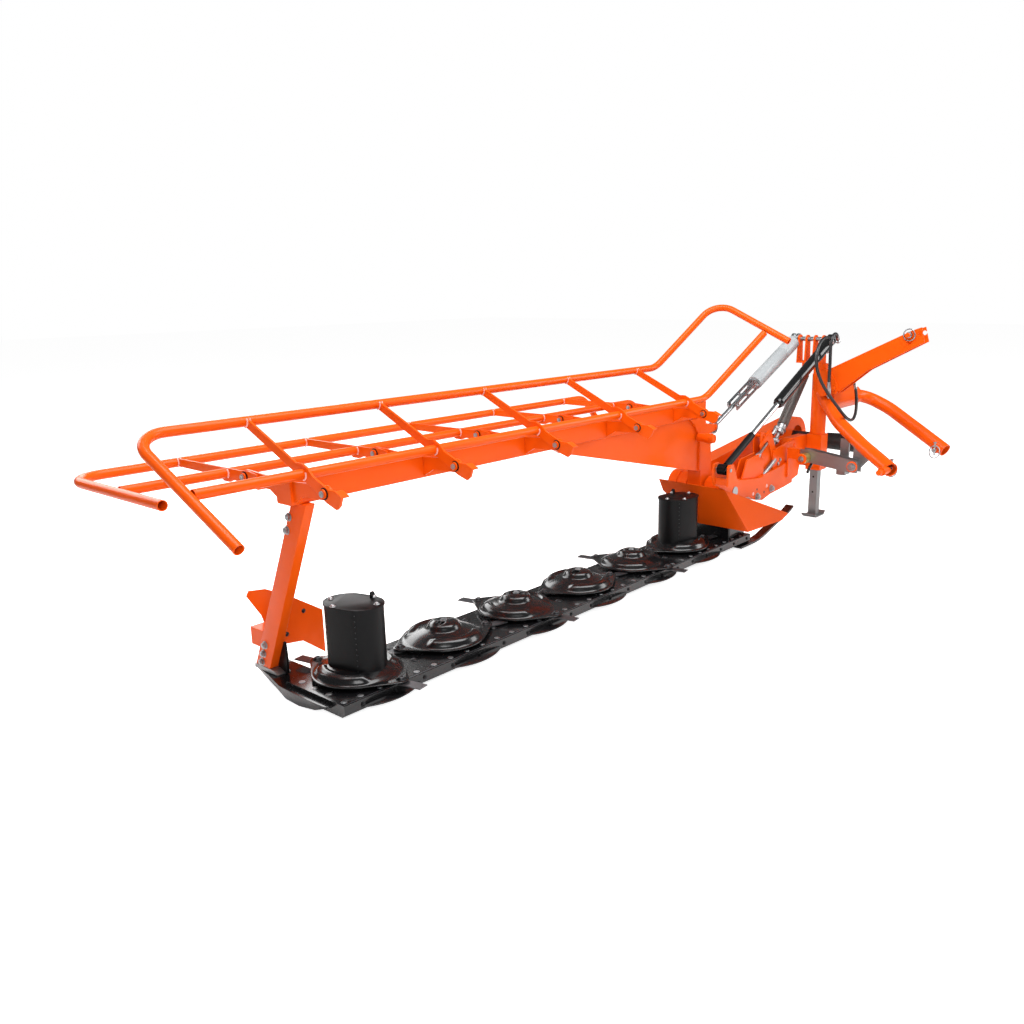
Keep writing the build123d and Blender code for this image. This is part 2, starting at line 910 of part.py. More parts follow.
# Inner drive covers
# Folded shield between the inner drum and the gear column: corners of its two flats
hood_top_back = Vector(*spot(2141, 180, 388))
hood_low_back = Vector(*spot(2175, 177, 320))
hood_low_mid = Vector(*spot(2289, 34, 142))
hood_bend_top = Vector(*spot(2200, -180, 365))
hood_bend_low = Vector(*spot(2335, -250, 126))
hood_tip_top = Vector(*spot(2884, -205, 114))
hood_tip_low = Vector(*spot(2780, -221, 95))


def hood_flat(corner, next_corner, others):
    """Flat of the shield through two corners and the rest, as thick as the sheet behind it."""
    across_sheet = (next_corner - corner).cross(others[0] - corner)
    plane = Plane(origin=corner, x_dir=next_corner - corner, z_dir=across_sheet)
    outline = [plane.to_local_coords(point) for point in (corner, next_corner, *others)]
    with BuildPart() as flat:
        with BuildSketch(plane):
            with BuildLine():
                Polyline(*[(point.X, point.Y) for point in outline], close=True)
            make_face()
        extrude(amount=-hood_plate)
    return flat.part


with BuildPart() as drive_hood:
    add(hood_flat(hood_bend_low, hood_bend_top, (hood_top_back, hood_low_back, hood_low_mid)))
    add(hood_flat(hood_bend_top, hood_bend_low, (hood_tip_low, hood_tip_top)))
    with BuildSketch(across(hood_stay_x)):
        with BuildLine():
            Polyline(
                (column_front - seat_gap, 130),
                (column_front - seat_gap, 180),
                (-221, 180),
                (-238, 130),
                close=True,
            )
        make_face()
    extrude(amount=6)
    with BuildSketch(across(pivot_x - 12)):
        with BuildLine():
            Polyline(
                (far_lug_y - fork_plate - seat_gap, 262),
                (far_lug_y - fork_plate - seat_gap, 240),
                (-209, 240),
                (-202, 262),
                close=True,
            )
        make_face()
    extrude(amount=10)
drive_hood.part.label = "drive_hood"


# Post with its cross hub, arms and upper arm
def post_head(grow):
    """Post, cross hub and the two cheeks for the top arm, grown all round by a gap."""
    with BuildPart() as head:
        with BuildSketch(level(post_bottom - grow)):
            with Locations((post_x, post_y)):
                Circle(post_radius + grow)
        extrude(amount=post_top - post_bottom + 2 * grow)
        with BuildSketch(across(hub_left - grow)):
            with Locations((hub_y, hub_z)):
                Circle(cross_hub_radius + grow)
        extrude(amount=hub_right - hub_left + 2 * grow)
        for side in (-1, 1):
            middle = top_pin_x + side * (top_arm_width / 2 + seat_gap + cheek_plate / 2)
            with BuildSketch(across(middle - cheek_plate / 2 - grow)):
                with Locations((hub_y - 15, hub_z + cross_hub_radius)):
                    Circle(30 + grow)
                with Locations((hub_y - 25, top_arm_low + 50)):
                    Circle(45 + grow)
                with Locations((root_bolt_y, root_bolt_z)):
                    Circle(30 + grow)
                make_hull()
            extrude(amount=cheek_plate + 2 * grow)
        with BuildSketch(along(hub_y + 4 + grow)):
            with Locations(((top_pin_x - top_arm_width / 2 + post_x) / 2, top_arm_low + 45)):
                Rectangle(post_x - top_pin_x + top_arm_width / 2 + 2 * grow, 70 + 2 * grow)
        extrude(amount=cheek_plate + 2 * grow)
    return head.part


with BuildPart() as hitch_post:
    add(post_head(0))
    with BuildSketch(level(post_bottom)):
        with Locations((post_x, post_y)):
            Circle(king_radius + running_gap)
    extrude(amount=post_top - post_bottom, mode=Mode.SUBTRACT)
    with BuildSketch(level(post_top)):
        with Locations((post_x, post_y)):
            Circle(cap_radius + cap_gap)
    extrude(amount=king_cap + 2 * cap_gap, mode=Mode.SUBTRACT)
    with BuildSketch(across(top_pin_x - top_arm_width / 2 - cheek_plate - 14)):
        with Locations((root_bolt_y, root_bolt_z)):
            Circle(arm_bolt_radius)
    extrude(amount=top_arm_width + 2 * cheek_plate + 28)
hitch_post.part.label = "hitch_post"


def hitch_arm(points, bend, pin_x):
    """Bent tube from the head, open at its mouth, with the boss that carries its hitch pin."""
    with BuildPart() as arm:
        add(bent_tube(points, bend, arm_radius, 0))
        with BuildSketch(across(pin_x - left_boss_reach)):
            with Locations((hitch_pin_y, hitch_pin_z)):
                Circle(arm_boss_radius)
        extrude(amount=left_boss_reach + right_boss_reach)
        add(bent_tube(points, bend, arm_bore, 0), mode=Mode.SUBTRACT)
        add(post_head(seat_gap), mode=Mode.SUBTRACT)
    return arm.part


near_points = [spot(*place) for place in near_arm_path]
near_arm = hitch_arm(near_points, near_arm_bend, hitch_near_x)
near_arm.label = "near_arm"
far_arm = hitch_arm([spot(*place) for place in far_arm_path], far_arm_bends, hitch_far_x)
far_arm.label = "far_arm"

top_arm_left = top_pin_x - top_arm_width / 2
with BuildPart() as top_arm:
    with BuildSketch(across(top_arm_left)):
        with BuildLine():
            Polyline(
                (-212, 889),
                (-243, 903),
                (-697, 1127),
                (-744, 1144),
                (-766, 1065),
                (-463, 901),
                (-304, 770),
                (-262, top_arm_low - 40),
                (-212, top_arm_low),
                close=True,
            )
        make_face()
        with Locations((top_pin_y, top_pin_z)):
            Circle(top_pin_bore, mode=Mode.SUBTRACT)
        with Locations((stow_pin_y, stow_pin_z), (stow_pin_y - 3, stow_pin_z - 40)):
            Circle(arm_bolt_radius + running_gap, mode=Mode.SUBTRACT)
        with Locations((root_bolt_y, root_bolt_z)):
            Circle(arm_bolt_radius + running_gap, mode=Mode.SUBTRACT)
    extrude(amount=top_arm_width)
    with BuildSketch(across(top_arm_left + top_arm_plate)):
        with BuildLine():
            Polyline(
                (-200, 871),
                (-243, 891),
                (-640, 1087),
                (-640, 1160),
                (-800, 1160),
                (-800, 700),
                (-200, 700),
                close=True,
            )
        make_face()
    extrude(amount=top_arm_width - 2 * top_arm_plate, mode=Mode.SUBTRACT)
    add(post_head(seat_gap), mode=Mode.SUBTRACT)
top_arm.part.label = "top_arm"

with BuildPart() as hitch_pins:
    near_pin_end = hitch_near_x - left_boss_reach - seat_gap - hitch_pin_length
    for x in (near_pin_end, hitch_far_x + right_boss_reach + seat_gap):
        with BuildSketch(across(x)):
            with Locations((hitch_pin_y, hitch_pin_z)):
                Circle(hitch_pin_radius)
        extrude(amount=hitch_pin_length)
    with BuildSketch(across(top_arm_left - 34)):
        with Locations((stow_pin_y, stow_pin_z)):
            Circle(arm_bolt_radius)
    extrude(amount=top_arm_width + 46)
hitch_pins.part.label = "hitch_pins"

with BuildPart() as latch_link:
    for x in (latch_left, latch_left + latch_width - latch_plate):
        with BuildSketch(across(x)):
            with BuildLine():
                Polyline(
                    (latch_y + 24, latch_z - 33),
                    (latch_y + 24, latch_z + 33),
                    (latch_y - 26, latch_z + 33),
                    (latch_bolt_y - 24, latch_bolt_z + 32),
                    (latch_bolt_y - 28, latch_bolt_z - 34),
                    (latch_bolt_y + 26, latch_bolt_z - 34),
                    close=True,
                )
            make_face()
        extrude(amount=latch_plate)
    with BuildSketch(across(latch_left)):
        with Locations((latch_y, latch_z)):
            Circle(latch_radius)
    extrude(amount=latch_width)
    with BuildSketch(across(latch_left)):
        with Locations((latch_bolt_y, latch_bolt_z)):
            Circle(13)
    extrude(amount=latch_width + 2 * latch_plate)
    with BuildSketch(across(latch_left + latch_width)):
        with Locations((latch_bolt_y, latch_bolt_z)):
            Circle(26)
        with Locations((latch_bolt_y - 80, latch_bolt_z + 70), (latch_bolt_y + 10, latch_bolt_z + 110)):
            Circle(12)
        make_hull()
    extrude(amount=12)
    with BuildSketch(along(buffer_y)):
        with Locations((buffer_x, buffer_z)):
            Rectangle(70, 70)
        with Locations((buffer_x + 12, buffer_z + 90)):
            Rectangle(16, 150)
    extrude(amount=50)
    add(bent_tube(near_points, near_arm_bend, arm_radius + seat_gap, 0), mode=Mode.SUBTRACT)
latch_link.part.label = "latch_link"

# Swing frame
head_base = post_top + king_cap + 2 * seat_gap
with BuildPart() as king_shaft:
    with BuildSketch(level(post_bottom - seat_gap)):
        with Locations((post_x, post_y)):
            Circle(king_radius)
    extrude(amount=post_top + 30 - post_bottom + seat_gap)
    with BuildSketch(level(post_top + seat_gap)):
        with Locations((post_x, post_y)):
            Circle(cap_radius)
    extrude(amount=king_cap)
king_shaft.part.label = "king_shaft"

with BuildPart() as mast_head:
    for y in ear_faces:
        with BuildSketch(along(y)):
            with BuildLine():
                Polyline(
                    (post_x - 34, head_base),
                    (post_x + 34, head_base),
                    (post_x + 24, mast_pin_z),
                    (post_x - 24, mast_pin_z),
                    close=True,
                )
            make_face()
            with Locations((post_x, mast_pin_z)):
                Circle(24)
                Circle(mast_pin_radius + running_gap, mode=Mode.SUBTRACT)
        extrude(amount=ear_plate)
    with BuildSketch(level(head_base)):
        with Locations((post_x, (ear_faces[0] + ear_faces[-1] - ear_plate) / 2)):
            Rectangle(68, ear_faces[0] - ear_faces[-1] + ear_plate)
    extrude(amount=12)
    for side in (-1, 1):
        inner = float_y + side * (float_eye_width / 2 + seat_gap)
        with BuildSketch(along(max(inner, inner + side * ear_plate))):
            with Locations((float_high_x, float_high_z)):
                Circle(20)
            with Locations((float_high_x + 4, head_base)):
                Rectangle(44, 2)
            make_hull()
        extrude(amount=ear_plate)
    with BuildSketch(along(float_y + float_eye_width / 2 + ear_plate)):
        with Locations((float_high_x, float_high_z)):
            Circle(float_pin_radius)
    extrude(amount=float_eye_width + 2 * ear_plate)
mast_head.part.label = "mast_head"

mast_pin = round_bar(
    spot(post_x, mast_pin_rear, mast_pin_z), spot(post_x, mast_pin_front, mast_pin_z), mast_pin_radius
)
mast_pin.label = "mast_pin"

tongue_face = carrier_rear - cheek_inset - carrier_plate - seat_gap
tongue_width = carrier_rear - carrier_front - 2 * (cheek_inset + carrier_plate + seat_gap)
with BuildPart() as pivot_block:
    with BuildSketch(level(block_bottom)):
        with Locations((post_x, post_y)):
            Rectangle(block_width, block_width)
    extrude(amount=post_bottom - 2 * seat_gap - block_bottom)
    with BuildSketch(along(tongue_face)):
        with BuildLine():
            Polyline(
                (clevis_x, clevis_z + 42),
                (post_x - 40, clevis_z + 40),
                (post_x - 40, block_bottom + 20),
                (clevis_x, clevis_z - 42),
                close=True,
            )
        make_face()
        with Locations((clevis_x, clevis_z)):
            Circle(42)
            Circle(clevis_pin_radius + running_gap, mode=Mode.SUBTRACT)
    extrude(amount=tongue_width)
    with BuildSketch(level(block_bottom)):
        with Locations((post_x, post_y)):
            Rectangle(stand_side + 1, stand_side + 1)
    extrude(amount=post_bottom - 20 - block_bottom, mode=Mode.SUBTRACT)
pivot_block.part.label = "pivot_block"

with BuildPart() as carrier_beam:
    with BuildSketch(along(carrier_rear)):
        with BuildLine():
            Polyline(
                (pivot_x, pivot_z + pivot_boss_radius),
                (2406, 372),
                (2514, 358),
                (2684, 340),
                (2776, 354),
                (3007, 375),
                (carrier_end, 387),
                (carrier_end, 250),
                (2995, 241),
                (2811, 227),
                (2718, 209),
                (2636, 225),
                (2560, 258),
                (pivot_x, pivot_z - pivot_boss_radius),
                close=True,
            )
        make_face()
        with Locations((pivot_x, pivot_z)):
            Circle(pivot_boss_radius)
            Circle(pivot_pin_radius + running_gap, mode=Mode.SUBTRACT)
    extrude(amount=carrier_rear - carrier_front)
    for face in (carrier_rear - cheek_inset, carrier_front + cheek_inset + carrier_plate):
        with BuildSketch(along(face)):
            with BuildLine():
                Polyline(
                    (2862, 340),
                    (2862, 466),
                    (3034, 488),
                    (clevis_x - 7, clevis_z + 34),
                    (clevis_x + 76, clevis_z - 1),
                    (clevis_x + 95, clevis_z - 52),
                    (clevis_x + 56, 275),
                    (carrier_end - 4, 252),
                    (carrier_end - 4, 340),
                    close=True,
                )
            make_face()
        extrude(amount=carrier_plate)
    with BuildSketch(along(carrier_rear)):
        with Locations((clevis_x, clevis_z)):
            Circle(clevis_pin_radius + running_gap)
    extrude(amount=carrier_rear - carrier_front, mode=Mode.SUBTRACT)
    with BuildSketch(along(carrier_rear - cheek_inset - 3)):
        with Locations((float_low_x, float_low_z)):
            Circle(float_pin_radius)
    extrude(amount=carrier_rear - carrier_front - 2 * cheek_inset - 6)
carrier_beam.part.label = "carrier_beam"

with BuildPart() as carrier_fittings:
    for face in (float_y + 2, float_y - 38):
        for outline in (
            ((2514, 340), (2514, 366), (2564, 457), (2721, 472), (2700, 340)),
            ((2627, 330), (2667, 430), (2746, 441), (2760, 330)),
        ):
            with BuildSketch(along(face)):
                with BuildLine():
                    Polyline(*outline, close=True)
                make_face()
            extrude(amount=8)
    for face in (float_y - 24, float_y + 20):
        with BuildSketch(along(face)):
            with BuildLine():
                Polyline((2735, 588), (2806, 573), (2929, 402), (2912, 317), (2758, 340), close=True)
            make_face()
        extrude(amount=8)
    with BuildSketch(along(float_y + 24)):
        with Locations((2771, 560)):
            Circle(9)
    extrude(amount=60)
    with BuildSketch(along(carrier_front - seat_gap)):
        with Locations((latch_left + latch_width / 2, latch_z)):
            Rectangle(40, 60)
            with Locations((0, -80)):
                Rectangle(40, 120)
    extrude(amount=10)
    with BuildSketch(along(carrier_front - seat_gap)):
        with Locations((latch_left + latch_width / 2, latch_z)):
            Rectangle(40, 60)
    extrude(amount=carrier_front - seat_gap - latch_y - latch_radius - moving_gap)
    with BuildSketch(along(carrier_rear - cheek_inset + 4)):
        with Locations((clevis_x, clevis_z)):
            Circle(clevis_pin_radius)
    extrude(amount=carrier_rear - carrier_front - 2 * cheek_inset + 8)
    add(carrier_beam.part, mode=Mode.SUBTRACT)
carrier_fittings.part.label = "carrier_fittings"

with BuildPart() as belt_cover:
    with BuildSketch(along(belt_rear)):
        with Locations((pivot_x, pivot_z)):
            Circle(belt_end_radius)
        with Locations((drive_x, drive_z)):
            Circle(132)
        make_hull()
    extrude(amount=belt_rear - belt_front)
    for face, width in ((belt_rear, rear_band), (belt_front - band_reach + front_band, front_band)):
        with BuildSketch(along(face)):
            with Locations((pivot_x, pivot_z)):
                Circle(belt_end_radius + band_rise)
        extrude(amount=width)
    with BuildSketch(along(belt_front)):
        with Locations((drive_x, drive_z)):
            Circle(80)
    extrude(amount=-belt_pocket, mode=Mode.SUBTRACT)
    for x in (2640, 3046):
        with BuildSketch(along(belt_front)):
            with Locations((x, 310)):
                Rectangle(60, 40)
        extrude(amount=belt_front - carrier_rear - seat_gap)
belt_cover.part.label = "belt_cover"

with BuildPart() as shaft_guard:
    axis_start = spot(drive_x, 0, drive_z)
    with BuildSketch(Plane(origin=axis_start, x_dir=(1, 0, 0), z_dir=(0, 0, 1))):
        with BuildLine():
            Polyline(
                (0, belt_front + belt_pocket - seat_gap),
                (44, belt_front + belt_pocket - seat_gap),
                (44, cone_back),
                (50, cone_back),
                (56, cone_front),
                (46, cone_front),
                (40, cone_front + 90),
                (input_shaft_radius, cone_front + 90),
                (input_shaft_radius, cone_front + 15),
                (0, cone_front + 15),
                close=True,
            )
        make_face()
    revolve(axis=Axis(axis_start, (0, 1, 0)))
shaft_guard.part.label = "shaft_guard"

float_low = Vector(*spot(float_low_x, float_y, float_low_z))
float_high = Vector(*spot(float_high_x, float_y, float_high_z))
float_way = (float_high - float_low).normalized()
float_span = (float_high - float_low).length
float_half = Vector(0, float_eye_width / 2, 0)
with BuildPart() as float_spring:
    add(
        round_bar(
            float_low + float_way * coil_start,
            float_low + float_way * (float_span - 42),
            coil_radius,
            float_rod_radius + seat_gap,
        )
    )
float_spring.part.label = "float_spring"
with BuildPart() as float_rod:
    add(round_bar(float_low, float_high, float_rod_radius))
    add(round_bar(float_low + float_way * 142, float_low + float_way * (coil_start - seat_gap), 27))
    for end in (float_low, float_high):
        add(round_bar(end - float_half, end + float_half, 20))
    for end in (float_low, float_high):
        add(
            round_bar(end - float_half, end + float_half, float_pin_radius + running_gap),
            mode=Mode.SUBTRACT,
        )
float_rod.part.label = "float_rod"

# Parking stand
with BuildPart() as stand_leg:
    with BuildSketch(level(stand_plate)):
        with Locations((post_x, post_y)):
            Rectangle(stand_side, stand_side)
            Rectangle(stand_side - 8, stand_side - 8, mode=Mode.SUBTRACT)
    extrude(amount=stand_top - stand_plate)
    with BuildSketch(along(post_y + 45)):
        with BuildLine():
            Polyline(
                (post_x - stand_foot / 2, 22),
                (post_x - stand_foot / 2 + 5, 24),
                (post_x - 48, stand_plate),
                (post_x + 48, stand_plate),
                (post_x + stand_foot / 2 - 5, 24),
                (post_x + stand_foot / 2, 22),
                (post_x + 51, 0),
                (post_x - 51, 0),
                close=True,
            )
        make_face()
    extrude(amount=90)
stand_leg.part.label = "stand_leg"

# Lift cylinder
cylinder_top = Vector(*spot(post_x, cylinder_y, mast_pin_z))
cylinder_eye = Vector(*spot(cylinder_eye_x, cylinder_y, cylinder_eye_z))
cylinder_way = (cylinder_eye - cylinder_top).normalized()
eye_shift = Vector(0, eye_width / 2, 0)
with BuildPart() as cylinder_barrel:
    add(round_bar(cylinder_top - eye_shift * 0.6, cylinder_top + eye_shift * 0.6, 30))
    add(round_bar(cylinder_top, cylinder_top + cylinder_way * barrel_length, barrel_radius))
    add(
        round_bar(cylinder_top - eye_shift * 2, cylinder_top + eye_shift * 2, mast_pin_radius + running_gap),
        mode=Mode.SUBTRACT,
    )
    add(
        round_bar(
            cylinder_top + cylinder_way * 60,
            cylinder_top + cylinder_way * (barrel_length + 1),
            rod_radius + running_gap,
        ),
        mode=Mode.SUBTRACT,
    )
cylinder_barrel.part.label = "cylinder_barrel"

cylinder_rod = round_bar(
    cylinder_top + cylinder_way * 420, cylinder_eye - cylinder_way * (eye_radius + seat_gap), rod_radius
)
cylinder_rod.label = "cylinder_rod"

rod_sleeve = round_bar(
    cylinder_eye - cylinder_way * (eye_radius + sleeve_length),
    cylinder_eye - cylinder_way * (eye_radius + seat_gap),
    sleeve_radius,
    rod_radius + running_gap,
)
rod_sleeve.label = "rod_sleeve"

rod_eye = round_bar(cylinder_eye - eye_shift * 0.9, cylinder_eye + eye_shift * 0.9, eye_radius, eye_bore)
rod_eye.label = "rod_eye"

with BuildPart() as lift_pins:
    add(
        round_bar(
            spot(cylinder_eye_x, far_lug_y + 3, cylinder_eye_z),
            spot(cylinder_eye_x, near_lug_y - fork_plate - 4, cylinder_eye_z),
            eye_pin_radius,
        )
    )
    add(
        round_bar(
            spot(pivot_x, beam_rear - 4, pivot_z),
            spot(pivot_x, far_lug_y - fork_plate - 4, pivot_z),
            pivot_pin_radius,
        )
    )
lift_pins.part.label = "lift_pins"

# Relief spring
relief_top = Vector(*spot(post_x, relief_y, mast_pin_z))
relief_eye = Vector(*spot(relief_eye_x, relief_y, relief_eye_z))
relief_way = (relief_eye - relief_top).normalized()
relief_side = Vector(0, 1, 0).cross(relief_way)
relief_half = Vector(0, relief_eye_width / 2, 0)


with BuildPart() as relief_spring:
    add(round_bar(relief_top - relief_half, relief_top + relief_half, 25))
    add(round_bar(relief_top, relief_top + relief_way * relief_start, 11))
    add(
        round_bar(
            relief_top + relief_way * relief_start, relief_top + relief_way * relief_end, relief_radius
        )
    )
    add(
        round_bar(relief_top - 2 * relief_half, relief_top + 2 * relief_half, mast_pin_radius + running_gap),
        mode=Mode.SUBTRACT,
    )
relief_spring.part.label = "relief_spring"

slot_start = relief_end + 34
slot_run = clevis_run - 60
slot_middle = relief_top + relief_way * (slot_start + slot_run / 2)
clevis_root = relief_top + relief_way * (relief_end + seat_gap)
with BuildPart() as relief_clevis:
    with BuildSketch(Plane(origin=clevis_root, x_dir=relief_side, z_dir=relief_way)):
        Rectangle(44, 58)
    extrude(amount=clevis_run)
    with BuildSketch(Plane(origin=clevis_root + relief_way * 8, x_dir=relief_side, z_dir=relief_way)):
        Rectangle(60, 42)
    extrude(amount=clevis_run, mode=Mode.SUBTRACT)
    with BuildSketch(Plane(origin=slot_middle, x_dir=relief_way, z_dir=(0, 1, 0))):
        SlotOverall(slot_run, 2 * cross_pin_radius + 4)
    extrude(amount=60, both=True, mode=Mode.SUBTRACT)
relief_clevis.part.label = "relief_clevis"

cross_half = Vector(0, 33, 0)
cross_place = relief_top + relief_way * cross_pin_reach
with BuildPart() as relief_rod:
    add(round_bar(relief_top + relief_way * (cross_pin_reach - 12), relief_eye - relief_way * 31, 12))
    add(round_bar(relief_eye - relief_half, relief_eye + relief_half, 36, 29))
    add(round_bar(cross_place - cross_half, cross_place + cross_half, cross_pin_radius))
relief_rod.part.label = "relief_rod"


# Hoses of the lift circuit, in front of the post
def cord(points, outer):
    """Hose along straight runs with an even tangent bend at each corner."""
    runs = [Vector(*end) - Vector(*start) for start, end in zip(points, points[1:])]
    bends = []
    for before, after in zip(runs, runs[1:]):
        turn = radians(before.get_angle(after))
        bends.append(0.45 * min(before.length, after.length) / tan(turn / 2))
    print("hose bends", [round(bend) for bend in bends], "runs", [round(run.length) for run in runs])
    return bent_tube(points, bends, outer, 0)


with BuildPart() as hoses:
    for path in (hose_loop_path, hose_drop_path):
        add(cord([spot(*place) for place in path], hose_radius))
hoses.part.label = "hoses"

# Export
pieces = [
    cutter_bar.part, skid_lobes.part, outer_shoe.part, inner_shoe.part,
    *rotors,
    main_beam.part, haunch.part, inner_post.part, gear_column.part, fork_plates.part,
    front_brackets, rear_brackets, *guard_parts,
    outer_leg.part, swath_board.part, drive_hood.part,
    hitch_post.part, near_arm, far_arm, top_arm.part, hitch_pins.part, latch_link.part, hoses.part,
    king_shaft.part, mast_head.part, mast_pin, pivot_block.part, carrier_beam.part,
    carrier_fittings.part, belt_cover.part, shaft_guard.part, float_spring.part, float_rod.part,
    stand_leg.part,
    cylinder_barrel.part, cylinder_rod, rod_sleeve, rod_eye, lift_pins.part,
    relief_spring.part, relief_clevis.part, relief_rod.part,
]
os.makedirs("parts", exist_ok=True)
for piece in pieces:
    export_step(piece, f"parts/{piece.label}.step")
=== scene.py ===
import json
from math import atan2, copysign, cos, hypot, pi, radians, sin, sqrt

import bmesh
import bpy
from bpy.props import FloatProperty, FloatVectorProperty, IntProperty, PointerProperty
from mathutils import Matrix, Vector


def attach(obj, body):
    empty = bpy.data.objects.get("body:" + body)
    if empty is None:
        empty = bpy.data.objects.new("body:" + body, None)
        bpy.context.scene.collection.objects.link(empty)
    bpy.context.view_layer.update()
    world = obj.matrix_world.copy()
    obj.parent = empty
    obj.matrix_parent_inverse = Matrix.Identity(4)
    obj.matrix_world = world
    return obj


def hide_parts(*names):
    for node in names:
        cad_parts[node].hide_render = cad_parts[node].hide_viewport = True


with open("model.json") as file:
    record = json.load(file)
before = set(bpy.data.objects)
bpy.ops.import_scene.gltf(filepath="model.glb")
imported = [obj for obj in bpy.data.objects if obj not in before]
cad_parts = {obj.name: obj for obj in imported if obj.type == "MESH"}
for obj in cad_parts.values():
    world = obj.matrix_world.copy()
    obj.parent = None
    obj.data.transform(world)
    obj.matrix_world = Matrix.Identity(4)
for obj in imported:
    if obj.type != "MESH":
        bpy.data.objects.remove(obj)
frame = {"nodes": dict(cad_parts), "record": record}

bl_info = {
    "name": "Disc mower looks",
    "version": (1, 0, 0),
    "blender": (4, 5, 0),
    "location": "3D View > Sidebar > Disc mower",
    "description": "Finishes, fasteners, springs, hoses and stage for a side-mounted disc mower",
    "category": "Object",
}

NODES = frame["nodes"]

UP = Vector((0, 0, 1))
AHEAD = Vector((0, -1, 0))
OUTWARD = Vector((-1, 0, 0))
INWARD = Vector((1, 0, 0))

# Finishes that stand for each material slot; the first of a row is also put on the solids
SLOT_LOOKS = {
    "orange_paint": ("orange_gloss", "orange_painted_shade", "orange_weld"),
    "black_paint": ("black_gloss", "black_sheet", "black_oxide"),
    "zinc": ("zinc_plate", "yellow_zinc"),
    "grey_coil": ("silver_housing", "spring_paint"),
    "chrome": ("hard_chrome",),
    "raw_steel": ("raw_steel",),
    "black_plastic": ("black_rubber", "hose_rubber"),
    "blade_steel": ("blade_steel",),
}
# Solids whose finish is not the first of their slot; the drive hood's darker orange is painted shade
OWN_LOOKS = {
    "drive_hood": "orange_painted_shade", "rod_sleeve": "black_sheet", "rod_eye": "black_sheet",
    "inner_shoe": "black_gloss", "king_shaft": "orange_gloss",
}
# Sizes that a tree of bolt heads takes, in metres
HEAD_SIZES = {"Head Radius": 0.009, "Head Height": 0.006, "Washer Radius": 0.012, "Washer Height": 0.0015}

# Place in the frame of the first disc's axis, in metres; the machine's own sizes below are in millimetres
FIRST_DISC = Vector((-1.605, 0.051, 0.0))

# Discs: pitch, the way their ears point, outline, turned form, crescents and the pockets by the hub nut
DISC_COUNT = 6
DISC_PITCH = 410
DISC_ANGLES = (101, 168, 101, 168, 101, 168)
DISC_WAIST = 160.0
EAR_REACH = 190.0
EAR_RADIUS = 27.0
SHEET_TOP = 89
HUB_TOP = 149
DISC_PROFILE = (
    (0, 150), (20, 151), (40, 149), (54, 143), (62, 133), (66, 124), (72, 120), (84, 118), (104, 112),
    (122, 105), (138, 98), (148, 92), (153, 89.5), (160, 89),
)
DISC_RADII = (
    2, 8, 14, 20, 26, 32, 38, 44, 50, 54, 58, 62, 66, 70, 76, 84, 92, 98, 103, 108, 113, 118, 124, 130, 136,
    141, 145, 149, 153,
)
RIM_ROWS = ((0.35, 89), (0.75, 89), (0.96, 89), (1.0, 87.8), (1.0, 85.2), (0.97, 84.0))
CRESCENT_RADIUS = 127
CRESCENT_SPAN = radians(62)
CRESCENT_FADE = radians(16)
POCKET_TURN = 0.5
POCKET_REACH = 26
POCKET_SLIM = 1.25
POCKET_DEPTH = 13

# Drums on the two end discs: an oval whose sides are drawn in past the half width where they turn flat
DRUM_DISCS = (0, 5)
DRUM_STEPS = 72
DRUM_LONG = 111
DRUM_SHORT = 88
DRUM_FLAT = 74
DRUM_SOFTNESS = 0.35
DRUM_TOP = 337.5
DRUM_ROWS = ((97, 1.0), (330, 1.0), (331, 1.035), (336, 1.035), (DRUM_TOP, 1.01))
LID_BOLTS = ((9, 92), (69, 78), (189, 92), (249, 78))
SEAM_OFF = 64

# Cutter bar, outer leg and guards
BAR_TOP = 70
SKID_END = -194
SKID_STEPS = 48
SKID_PROFILE = ((4, 120), (40, 216), (42, 219), (45.4, 219), (46, 218), (46, 60))
LEG_FACE = -173
BRACKETS = [-206 + 548.5 * i for i in range(5)]
HINGE_HEIGHT = 778
FRONT_HINGE = -175
REAR_HINGE = 262
GUARD_OPEN = radians(25)
OUTER_RAIL = 446
INNER_RAIL = 114

# Cylinder and springs: pins as (x, z), and the y of each one's axis
MAST_PIN = (3353, 1062)
CYLINDER_EYE = (2146, 482)
CYLINDER_Y = -200
RELIEF_EYE = (2413, 646)
RELIEF_Y = 20
FLOAT_LOW = (2917, 440)
FLOAT_HIGH = (3340, 890)
FLOAT_Y = -62
COIL_RADIUS = 28.5

# Carrier, latch, hitch arms and stand: places as (y, z)
CARRIER_FACE = -125
LATCH = (-236, 435)
LATCH_BOLT = (-520, 400)
STOW_PIN = (-683, 1103)
HITCH_PIN = (-755, 430)
LINCH_PINS = (2937, 3609)
STAND_FACE = 3328
STAND_HOLES = (244, 150)

# Hoses: their diameter in metres, and the points that their curves are drawn towards
HOSE_DIAMETER = 0.018
LOOP_ROUTE = (
    (3290, -236, 1050), (3200, -262, 1085), (3084, -270, 1086), (2997, -277, 1030), (2976, -285, 945),
    (3005, -300, 862), (3058, -326, 784), (3124, -356, 707), (3203, -379, 634), (3302, -376, 603),
    (3396, -358, 638), (3447, -336, 726), (3449, -320, 800),
)
DROP_ROUTE = (
    (3330, -250, 1062), (3295, -260, 1091), (3258, -264, 1103), (3221, -266, 1091), (3198, -267, 1060),
    (3197, -267, 1010), (3204, -266, 925), (3208, -263, 842), (3227, -260, 760),
)

# Camera in the frame, in metres and radians: yaw from +X, pitch down, roll
CAMERA_PLACE = Vector((-3.44819, -2.43061, 1.37764))
CAMERA_YAW = 0.69863
CAMERA_PITCH = 0.23913
CAMERA_ROLL = 0.01389
CAMERA_SHIFT = -0.0469
